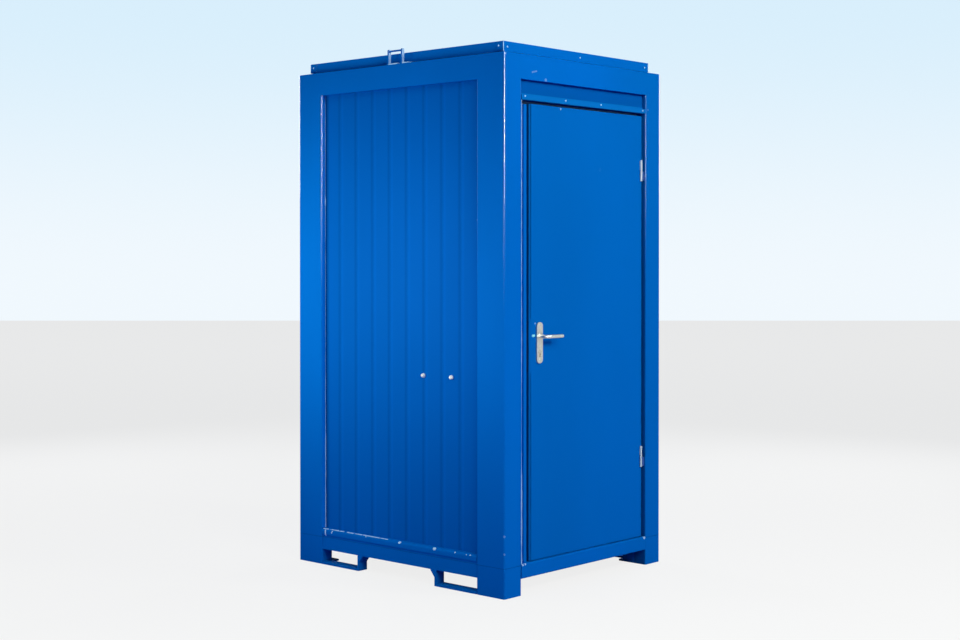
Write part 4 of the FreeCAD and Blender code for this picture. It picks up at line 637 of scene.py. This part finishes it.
# radius and height of a button head and a flush head with their sockets, in shares of the radius
SCREW_HEAD = [(1, 0), (0.97, 0.2), (0.82, 0.42), (0.55, 0.56), (0.4, 0.58), (0.36, 0.26), (0, 0.2)]
FLUSH_HEAD = [(1, 0), (0.98, 0.1), (0.86, 0.16), (0.34, 0.16), (0.3, 0), (0, -0.04)]


def screws(name, places, out, radius, slot, body, finish, head=SCREW_HEAD):
    """One piece with a screw head on every place, all facing out."""
    heads = Shape()
    for place in places:
        heads.turned([(radius * r, radius * h) for r, h in head], place, out, 18)
    heads.make(name, slot, body, finish)


STAINLESS = FINISHES["stainless"]
CHROME = FINISHES["chrome_plate"]
PLASTIC = FINISHES["white_plastic"]
# a pale blue for screw heads, partly a painted highlight, and for painted highlights on the brackets'
# feet and the roof's corners
PALE_HEADS_AND_HIGHLIGHTS = plain_finish("pale_blue_heads_and_highlights", (0.40, 0.66, 0.90), 0.45, 0.0001)
SEALANT = plain_finish("sealant_pale", (0.36, 0.60, 0.88), 0.6, 0.0003)
DARK_GAP = plain_finish("opening_shade", (0.01, 0.01, 0.012), 0.9, 0.0001, 0.1)

# screws of the drip ledge and the roof cap
LEDGE_SCREWS = ((-0.456, 2.2925), (-0.161, 2.2925), (0.111, 2.2925), (0.452, 2.288))
ledge_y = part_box("drip_ledge")[0].y
screws("ledge_screws", [(x, ledge_y, z) for x, z in LEDGE_SCREWS],
       (0, -1, 0), 0.0045, "frame_paint", "cabin", PALE_HEADS_AND_HIGHLIGHTS)
cap_low, cap_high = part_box("roof_cap")
SIDE_SCREWS_Y, SIDE_SCREWS_Z = (-0.627, 0.0, 0.636), 2.5195
END_SCREWS_X, END_SCREWS_Z = (-0.53, 0.003, 0.53), 2.515
for side, x, out in (("left", cap_low.x, -1), ("right", cap_high.x, 1)):
    screws("roof_screws_" + side, [(x, y, SIDE_SCREWS_Z) for y in SIDE_SCREWS_Y],
           (out, 0, 0), 0.0048, "roof_paint", "cabin", PALE_HEADS_AND_HIGHLIGHTS)
for side, y, out in (("front", cap_low.y, -1), ("rear", cap_high.y, 1)):
    screws("roof_screws_" + side, [(x, y, END_SCREWS_Z) for x in END_SCREWS_X],
           (0, out, 0), 0.0045, "roof_paint", "cabin", PALE_HEADS_AND_HIGHLIGHTS)

# the cap's folded corner tabs, and pale seams beside them that are also a painted highlight along each
# corner
TAB_LONG, TAB_THICK, TAB_INSET = 0.046, 0.0011, 0.0025
tabs = Shape()
for x, out in ((cap_low.x, -1), (cap_high.x, 1)):
    near, far = sorted((x, x + out * TAB_THICK))
    for low, high in ((cap_low.y + 0.0004, cap_low.y + TAB_LONG),
                      (cap_high.y - TAB_LONG, cap_high.y)):
        tabs.block((near, low, cap_low.z + TAB_INSET), (far, high, cap_high.z - TAB_INSET))
tabs.make("roof_corner_tabs", "roof_paint", "cabin", FINISHES["roof_paint"], 0.0003)
CORNER_LINE_RADIUS = 0.0016
corner_lines = Shape()
for x in (cap_low.x, cap_high.x):
    for y in (cap_low.y, cap_high.y):
        corner_lines.tube([(x, y, cap_low.z + 0.001), (x, y, cap_high.z - 0.0015)], (CORNER_LINE_RADIUS,) * 2)
corner_lines.make("roof_corner_seams_and_highlights", "roof_paint", "cabin", PALE_HEADS_AND_HIGHLIGHTS)

# the brackets' bent feet on the side beams, painted pale as a painted highlight on their edges
FEET_X, FEET_THICK, FEET_Y = (0.5985, 0.556), 0.0055, ((-0.012, 0.0500), (-0.087, -0.0440))
for side, out in (("left", -1), ("right", 1)):
    feet = Shape()
    near, far = sorted(out * x for x in FEET_X)
    for low, high in FEET_Y:
        feet.block((near, low, beam_top), (far, high, beam_top + FEET_THICK))
    feet.make("lift_feet_" + side, "frame_paint", "cabin", PALE_HEADS_AND_HIGHLIGHTS, 0.001)

# screws of the lock's plates and forend, and the collars round the levers
plate_low, plate_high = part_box("handle_plates")
case_low, case_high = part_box("lock_case")
lock_x, lock_y = (plate_low.x + plate_high.x) / 2, (case_low.y + case_high.y) / 2
LEVER_Z = 1.185
COLLAR = [(0.0135, 0), (0.0135, 0.0024), (0.0122, 0.0034), (0.0094, 0.0036), (0.0094, 0)]
plate_screws_z = (plate_high.z - 0.0145, plate_low.z + 0.0130)
plate_sides = (("outside", plate_low.y, -1), ("inside", plate_high.y, 1))
for side, y, out in plate_sides:
    screws("handle_screws_" + side, [(lock_x, y, z) for z in plate_screws_z], (0, out, 0),
           0.0046, "stainless", "door", STAINLESS, FLUSH_HEAD)
screws("forend_screws", [(case_low.x, lock_y, z) for z in (case_low.z + 0.010, case_high.z - 0.010)],
       (-1, 0, 0), 0.0036, "lock_steel", "door", FINISHES["lock_steel"], FLUSH_HEAD)
for side, y, out in plate_sides:
    Shape().turned(COLLAR, (lock_x, y, LEVER_Z), (0, out, 0), 32, False).make(
        "lever_collar_" + side, "stainless", "door", STAINLESS)

# the strike plate, a frame round the two openings that face the bolts
STRIKE_X, STRIKE_Y, STRIKE_Z = (-0.422, -0.4206), (-0.672, -0.640), (1.050, 1.248)
OPENING_Y, BOLT_OPENING, LATCH_OPENING = (-0.6705, -0.6535), (1.106, 1.140), (1.166, 1.204)
levels = (STRIKE_Z[0], *BOLT_OPENING, *LATCH_OPENING, STRIKE_Z[1])
bars = [(STRIKE_Y, span) for span in zip(levels[::2], levels[1::2])]
bars += [(cheek, opening) for opening in (BOLT_OPENING, LATCH_OPENING)
         for cheek in ((STRIKE_Y[0], OPENING_Y[0]), (OPENING_Y[1], STRIKE_Y[1]))]
strike = Shape()
for (y_low, y_high), (z_low, z_high) in bars:
    strike.block((STRIKE_X[0], y_low, z_low), (STRIKE_X[1], y_high, z_high))
strike.make("strike_plate", "lock_steel", "cabin", LOCK_IN_SHADE)
Shape().block((STRIKE_X[0] + 0.0001, OPENING_Y[0], LATCH_OPENING[0]),
              (STRIKE_X[0] + 0.0004, OPENING_Y[1], LATCH_OPENING[1])).make(
    "latch_opening", "lock_steel", "cabin", DARK_GAP)


# Sealant that was run into the corners where sheets meet

# about how long one step of a bead is
BEAD_STEP = 0.014


def bead(shape, foot, top, sizes, seed):
    """An uneven bead; sizes are pairs of a share of the way up and a radius there."""
    chance = random.Random(seed)
    foot, top = Vector(foot), Vector(top)
    steps = max(4, int((top - foot).length / BEAD_STEP))
    swell, route, radii = 0.5, [], []
    for i in range(steps + 1):
        share = i / steps
        before = max((size for size in sizes if size[0] <= share), key=lambda size: size[0])
        after = min((size for size in sizes if size[0] >= share), key=lambda size: size[0])
        span = after[0] - before[0]
        level = before[1] + (after[1] - before[1]) * ((share - before[0]) / span if span else 0)
        swell = swell * 0.55 + chance.random() * 0.45
        route.append(foot.lerp(top, share))
        radii.append(level * (0.45 + 1.1 * swell))
    shape.tube(route, radii, 8)


JAMB_BEAD = [(0, .0026), (.015, .0026), (.03, .0012), (.042, .0025), (.1, .0025), (.11, .0012),
             (.12, .0024), (.165, .0024), (.2, .0009), (.25, .0003), (.35, .0003), (.45, .0014),
             (.6, .0009), (.78, .0012), (.93, .0017), (1, .0015)]
POST_BEAD = [(0, .003), (.02, .0028), (.12, .0026), (.18, .0022), (.24, .0012), (.4, .0005),
             (.74, .0006), (.757, .003), (.77, .0006), (.9, .0007), (1, .0005)]
EVEN_BEAD = [(0, .0016), (.4, .0009), (.8, .0008), (1, .0012)]
# how far a bead's middle stands out of the corner that it fills
BEAD_OUT = 0.0003
jamb_low, jamb_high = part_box("door_jamb_lock")
lock_bead = Shape()
lock_bead_x, lock_bead_y = -post_x + 0.0002, front_y + 0.001
bead(lock_bead, (lock_bead_x, lock_bead_y, jamb_low.z + 0.001),
     (lock_bead_x, lock_bead_y, jamb_high.z - 0.002), JAMB_BEAD, 3)
lock_bead.make("sealant_lock_jamb", "frame_paint", "cabin", SEALANT)
side_bead_x, side_bead_y = wall_out_x + BEAD_OUT, post_y - BEAD_OUT
rear_bead_x, rear_bead_y = post_x - BEAD_OUT, rear_out_y + BEAD_OUT
rear_left = Shape()
bead(rear_left, (-side_bead_x, side_bead_y, rail_top + 0.001),
     (-side_bead_x, side_bead_y, post_top - 0.001), POST_BEAD, 8)
rear_left.make("sealant_rear_left", "frame_paint", "cabin", SEALANT)
CORNERS = ((-side_bead_x, -side_bead_y), (side_bead_x, -side_bead_y), (side_bead_x, side_bead_y),
           (-rear_bead_x, rear_bead_y), (rear_bead_x, rear_bead_y))
beads = Shape()
for number, (x, y) in enumerate(CORNERS):
    bead(beads, (x, y, rail_top + 0.002), (x, y, post_top - 0.002), EVEN_BEAD, 20 + number)
beads.make("sealant_corners", "frame_paint", "cabin", SEALANT)


# Inside fittings

room_x, room_front = wall_in_x, jamb_high.y
floor_z, ceiling_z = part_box("floor_sheet")[1].z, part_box("ceiling_panel")[0].z
# outlines of the corner cove and the skirting: distance from one face, and along or up the other
COVE = [(0, 0), (0.020, 0), (0.0195, 0.002), (0.008, 0.004), (0.004, 0.008), (0.002, 0.0195),
        (0, 0.020)]
SKIRT_HIGH, SKIRT_THICK = 0.058, 0.0032
SKIRT = [(0, 0), (SKIRT_THICK, 0), (SKIRT_THICK, 0.052), (0.0012, SKIRT_HIGH), (0, SKIRT_HIGH)]
skirt_top = floor_z + SKIRT_HIGH
trims = Shape()
for side in (-1, 1):
    for x, y in ((side * room_x, post_y), (side * post_x, rear_in_y)):
        outline = [(x - side * a, y - b, skirt_top) for a, b in COVE]
        trims.prism(outline[::side], (0, 0, ceiling_z - skirt_top))
    outline = [(side * (room_x - a), room_front, ceiling_z - b) for a, b in COVE]
    trims.prism(outline[::side], (0, post_y - room_front, 0))
outline = [(-post_x, rear_in_y - a, ceiling_z - b) for a, b in COVE]
trims.prism(outline[::-1], (2 * post_x, 0, 0))
trims.make("inner_corner_trims", "white_plastic", "cabin", PLASTIC)

skirting = Shape()
for side in (-1, 1):
    outline = [(side * (room_x - a), room_front, floor_z + b) for a, b in SKIRT]
    skirting.prism(outline[::side], (0, post_y - room_front, 0))
    outline = [(side * (post_x - a), post_y, floor_z + b) for a, b in SKIRT]
    skirting.prism(outline[::side], (0, rear_in_y - post_y, 0))
    near, far = sorted((side * (post_x - SKIRT_THICK), side * room_x))
    outline = [(near, post_y - a, floor_z + b) for a, b in SKIRT]
    skirting.prism(outline, (far - near, 0, 0))
outline = [(-post_x, rear_in_y - a, floor_z + b) for a, b in SKIRT]
skirting.prism(outline, (2 * post_x, 0, 0))
skirting.make("floor_skirting", "floor_vinyl", "cabin", FINISHES["floor_vinyl"])

mirror_low, mirror_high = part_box("mirror")
CLIP_IN, CLIP_HALF, CLIP_LAP, CLIP_REACH, CLIP_THICK = 0.09, 0.009, 0.009, 0.007, 0.0022
clips = Shape()
for y in (mirror_low.y + CLIP_IN, mirror_high.y - CLIP_IN):
    for z, out in ((mirror_low.z, -1), (mirror_high.z, 1)):
        foot, top = sorted((z - out * CLIP_LAP, z + out * CLIP_REACH))
        clips.block((-room_x, y - CLIP_HALF, foot), (mirror_high.x + CLIP_THICK, y + CLIP_HALF, top))
clips.make("mirror_clips", "chrome_plate", "cabin", CHROME, 0.0012)

# water standing in the bowl, as wide as the bowl is there
WATER_MIDDLE, WATER_SIDES, WATER_LAP = (0, 0.15, 0.356), 40, 0.0015
water = []
for i in range(WATER_SIDES):
    turn = math.tau * i / WATER_SIDES
    out = Vector((math.cos(turn), math.sin(turn), 0))
    water.append(meets("toilet_bowl", WATER_MIDDLE, out) + out * WATER_LAP)
Shape().add([*water, WATER_MIDDLE],
            [(i, (i + 1) % WATER_SIDES, WATER_SIDES) for i in range(WATER_SIDES)]).make(
    "bowl_water", "sanitary_ware", "cabin",
    plain_finish("bowl_water", (0.50, 0.56, 0.57), 0.03))

# caps on the screws that hold the pan to the floor
PAN_CAP = [(0.010, -0.001), (0.010, 0.003), (0.0085, 0.006), (0.0045, 0.008), (0, 0.0085)]
fixings = Shape()
for out in (-1, 1):
    place = meets("toilet_bowl", (out * 0.3, 0.24, 0.172), (-out, 0, 0))
    fixings.turned(PAN_CAP, place, (out, 0, 0))
fixings.make("pan_fixing_caps", "white_plastic", "cabin", PLASTIC)

# the basin's drain, over the top of its trap
tap_low, tap_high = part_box("tap_body")
basin_y = (tap_low.y + tap_high.y) / 2
drain = Vector((-0.33, basin_y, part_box("basin_trap")[1].z))
DRAIN_RING = [(0.029, 0), (0.029, 0.0012), (0.026, 0.0022), (0.019, 0.0022), (0.0175, 0.0006),
              (0.0175, 0)]
DRAIN_PLUG = [(0.0135, 0.0004), (0.0135, 0.0032), (0.012, 0.0044), (0.004, 0.0052), (0, 0.0053)]
Shape().turned(DRAIN_RING, drain, (0, 0, 1), 40, False).make(
    "basin_drain_ring", "chrome_plate", "cabin", CHROME)
Shape().turned(DRAIN_PLUG, drain, (0, 0, 1), 40).make(
    "basin_drain_plug", "chrome_plate", "cabin", CHROME)

VALVE_BODY = [(0.027, 0), (0.027, 0.0015), (0.024, 0.005), (0.011, 0.008), (0.0085, 0.009),
              (0.0085, 0.034), (0.011, 0.034), (0.012, 0.036), (0.012, 0.056), (0.010, 0.058),
              (0, 0.0585)]
VALVE_NECK = [(0.0085, 0.006), (0.0085, 0.022), (0.011, 0.022), (0.011, 0.034), (0.0065, 0.037),
              (0, 0.037)]
# how far a valve's neck stands off the wall, and where on the neck its tube begins
VALVE_OUT, VALVE_UP = 0.025, 0.03
SUPPLY_RADIUS, SUPPLY_BEND = 0.005, 0.02


def supply(name, wall_point, out, route):
    """A stop valve on the wall, its knob and the rigid tube that leaves it along the route."""
    wall_point, out = Vector(wall_point), Vector(out)
    neck = wall_point + out * VALVE_OUT
    valve = Shape()
    valve.turned(VALVE_BODY, wall_point, out, 28)
    valve.turned(VALVE_NECK, neck, (0, 0, 1), 20)
    path = rounded([neck + Vector((0, 0, VALVE_UP)), *route], SUPPLY_BEND)
    valve.tube(path, [SUPPLY_RADIUS] * len(path))
    valve.make(name, "chrome_plate", "cabin", CHROME)


valve_y, tap_tail_x = -0.165, -0.470
supply("basin_supply", (-room_x, valve_y, 0.60), (1, 0, 0),
       [(-room_x + VALVE_OUT, valve_y, 0.76), (tap_tail_x, basin_y, 0.86),
        (tap_tail_x, basin_y, tap_low.z + 0.002)])
tank_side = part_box("cistern")[1].x
valve_x, inlet_y, inlet_z = 0.27, 0.535, 0.63
supply("cistern_supply", (valve_x, rear_in_y, 0.40), (0, -1, 0),
       [(valve_x, rear_in_y - VALVE_OUT, 0.60), (0.235, inlet_y, inlet_z),
        (tank_side, inlet_y, inlet_z)])
Shape().turned([(0.014, 0), (0.014, 0.012), (0.0105, 0.013), (0.0105, 0.020), (0.006, 0.021)],
               (tank_side - 0.0005, inlet_y, inlet_z), (1, 0, 0), 6).make(
    "cistern_inlet_nut", "white_plastic", "cabin", PLASTIC, 0.0005)

# the conduit runs up from the switch, along the ceiling's edge and across to the light
light_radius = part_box("ceiling_light")[1].x
switch_low, switch_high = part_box("switch_box")
switch_y = (switch_low.y + switch_high.y) / 2
CONDUIT_HALF, CONDUIT_OUT, CONDUIT_DOWN = 0.008, 0.012, 0.010
conduit_x, conduit_z = room_x - CONDUIT_OUT, ceiling_z - CONDUIT_DOWN
conduit = Shape()
conduit.block((conduit_x, switch_y - CONDUIT_HALF, switch_high.z - 0.001),
              (room_x, switch_y + CONDUIT_HALF, conduit_z))
conduit.block((conduit_x, switch_y - CONDUIT_HALF, conduit_z),
              (room_x, CONDUIT_HALF, ceiling_z - 0.0002))
conduit.block((light_radius - 0.004, -CONDUIT_HALF, conduit_z),
              (room_x, CONDUIT_HALF, ceiling_z - 0.0004))
conduit.make("light_conduit", "white_plastic", "cabin", PLASTIC, 0.0015)
RING_HIGH = 0.0125
ring_in, ring_out = light_radius + 0.0002, light_radius + 0.0045
Shape().turned([(ring_in, 0), (ring_in, 0.004), (ring_out, 0.007), (ring_out, 0.0115),
                (ring_in, RING_HIGH)],
               (0, 0, ceiling_z - RING_HIGH), (0, 0, 1), 64, False).make(
    "ceiling_light_ring", "white_plastic", "cabin", PLASTIC)


# Stage, light and camera

VIEW_YAW = math.radians(47.843)
FORWARD = Vector((math.sin(VIEW_YAW), math.cos(VIEW_YAW), 0))
ACROSS = Vector((math.cos(VIEW_YAW), -math.sin(VIEW_YAW), 0))
EYE = Vector((-5.8534, -5.3072, 1.5518))
FOCAL_PIXELS = 1545.2
# the photo's width, its middle row and the row of the camera's own axis, in pixels
PHOTO_WIDE, MIDDLE_ROW, AXIS_ROW = 960, 320, 274.4
VIEW_PITCH = math.radians(-0.625)
SENSOR = 36
FLOOR_END, FLOOR_REACH, NEAREST = 38.0, 45, 6.0
BOUNCE = (0.08, 0.15, 0.47)
SKY_LIGHT = (0.46, 0.76, 1)
SKY_LOW, SKY_HIGH = (0.875, 0.94, 0.99), (0.69, 0.86, 0.975)
# the floor's level of 255 at a number of pixel rows under the horizon, and its rise for each row;
# near that row it is lifted a little more, and no longer at the last row
FAR_ROW, FAR_LEVEL, LEVEL_PER_ROW = 68, 231, 0.05145
FAR_LIFT, LIFT_END_ROW = 8, 190


def seen_share(finish):
    """1 for what the camera, a gloss or a glass sees, and 0 for light that falls on things."""
    path = finish.node("ShaderNodeLightPath").socket.node
    camera, glossy, through = (Signal(finish.tree, path.outputs[ray]) for ray in
                               ("Is Camera Ray", "Is Glossy Ray", "Is Transmission Ray"))
    return (camera + glossy + through).least(1.0)


def linear(level):
    """The light value of a screen level from 0 to 1, as a signal."""
    return ((level + 0.055) / 1.055) ** 2.4


def make_world():
    """A pale sky that the camera sees, and a blue light from it on everything else."""
    world = bpy.data.worlds.new("pale_sky")
    world.use_nodes = True
    bpy.context.scene.world = world
    sky = Finish(world.node_tree)
    world.node_tree.nodes.clear()
    up = sky.parts(sky.node("ShaderNodeTexCoord", output="Generated"))[2]
    shown = sky.blend(sky.ramp(up, -0.02, 0.17), SKY_LOW, SKY_HIGH)
    light = sky.node("ShaderNodeBackground", sockets={"Color": SKY_LIGHT, "Strength": 0.30})
    view = sky.node("ShaderNodeBackground", sockets={"Color": shown, "Strength": 1.0})
    both = sky.node("ShaderNodeMixShader", sockets={0: seen_share(sky), 1: light, 2: view})
    sky.node("ShaderNodeOutputWorld", sockets={"Surface": both})


def make_floor():
    """A pale floor that shows the photo's brightness row by row, and keeps the cabin's shadow."""
    mesh = bpy.data.meshes.new("studio_floor")
    ends = [EYE + FORWARD * a + ACROSS * b
            for a, b in ((-FLOOR_REACH, -FLOOR_REACH), (-FLOOR_REACH, FLOOR_REACH),
                         (FLOOR_END, FLOOR_REACH), (FLOOR_END, -FLOOR_REACH))]
    mesh.from_pydata([(p.x, p.y, 0) for p in ends], [], [(0, 1, 2, 3)])
    floor = bpy.data.objects.new("studio_floor", mesh)
    bpy.context.scene.collection.objects.link(floor)
    ground = Surface("pale_floor", BOUNCE, Roughness=0.95, Specular_IOR_Level=0)
    x, y = ground.place()[:2]
    ahead = (x - EYE.x) * FORWARD.x + (y - EYE.y) * FORWARD.y
    row = (EYE.z * FOCAL_PIXELS) / ahead.most(NEAREST)
    lift = ground.ramp(row, FAR_ROW, LIFT_END_ROW, FAR_LIFT, 0)
    tone = linear(((row - FAR_ROW) * LEVEL_PER_ROW + FAR_LEVEL + lift) / 255)
    colour = ground.node("ShaderNodeCombineXYZ", sockets={0: tone, 1: tone, 2: tone})
    seen = seen_share(ground)
    ground.set("Base Color", ground.blend(seen, BOUNCE, colour))
    glow = ground.node("ShaderNodeEmission", sockets={"Color": colour, "Strength": 1.0})
    lit = Signal(ground.tree, ground.shader.outputs[0])
    both = ground.node("ShaderNodeMixShader", sockets={0: seen * 0.92, 1: lit, 2: glow})
    join_socket(ground.tree, ground.tree.nodes["Material Output"].inputs["Surface"], both)
    mesh.materials.append(ground.material)


def lamp(name, place, target, size, power, only_gloss=False, spread=180, blue=1.0):
    """A rectangular lamp that the camera doesn't see; blue is its share of blue light."""
    light = bpy.data.lights.new(name, "AREA")
    light.shape = "RECTANGLE"
    light.size, light.size_y = size
    light.energy = power
    light.spread = math.radians(spread)
    light.color = (1, 1, blue)
    holder = bpy.data.objects.new(name, light)
    holder.location = place
    holder.rotation_euler = (Vector(target) - Vector(place)).to_track_quat("-Z", "Y").to_euler()
    holder.visible_camera = False
    if only_gloss:
        holder.visible_diffuse = False
    bpy.context.scene.collection.objects.link(holder)


make_world()
make_floor()
lamp("key_softbox", (1.5, -5.4, 3.7), (0.0, -0.7, 1.6), (1.0, 1.0), 146, blue=0.86)
lamp("front_fill", (-2.4, -5.4, 4.2), (-0.1, -0.7, 1.8), (2.4, 2.4), 176, blue=0.88)
lamp("side_softbox", (-2.2, -0.4, 1.45), (-0.6, -0.3, 1.45), (0.9, 0.9), 4.2, spread=100,
     blue=0.9)
lamp("side_fill", (-2.2, 1.4, 1.45), (-0.6, 0.5, 1.45), (1.0, 0.9), 11, spread=100,
     blue=0.84)
lamp("right_fill", (5.2, 0.6, 3.2), (0.6, 0, 1.2), (2.4, 2.4), 190)
lamp("rear_fill", (0.8, 5.6, 3.2), (0, 0.7, 1.2), (2.4, 2.4), 190)
# the lamp that the upright bends mirror towards the camera
strip = EYE + ACROSS * 1.3 + Vector((-0.3, -0.3, 1.2))
lamp("bend_strip", strip, (-0.6, -0.4, 1.9), (0.4, 1.3), 440, only_gloss=True)

camera_data = bpy.data.cameras.new("photo_view")
camera_data.lens = FOCAL_PIXELS * SENSOR / PHOTO_WIDE
camera_data.sensor_width = SENSOR
camera_data.shift_y = -(MIDDLE_ROW - AXIS_ROW) / PHOTO_WIDE
camera = bpy.data.objects.new("photo_view", camera_data)
camera.location = EYE
camera.rotation_euler = (math.pi / 2 + VIEW_PITCH, 0, -VIEW_YAW)
bpy.context.scene.collection.objects.link(camera)
bpy.context.scene.camera = camera
bpy.context.scene.view_settings.view_transform = "Standard"
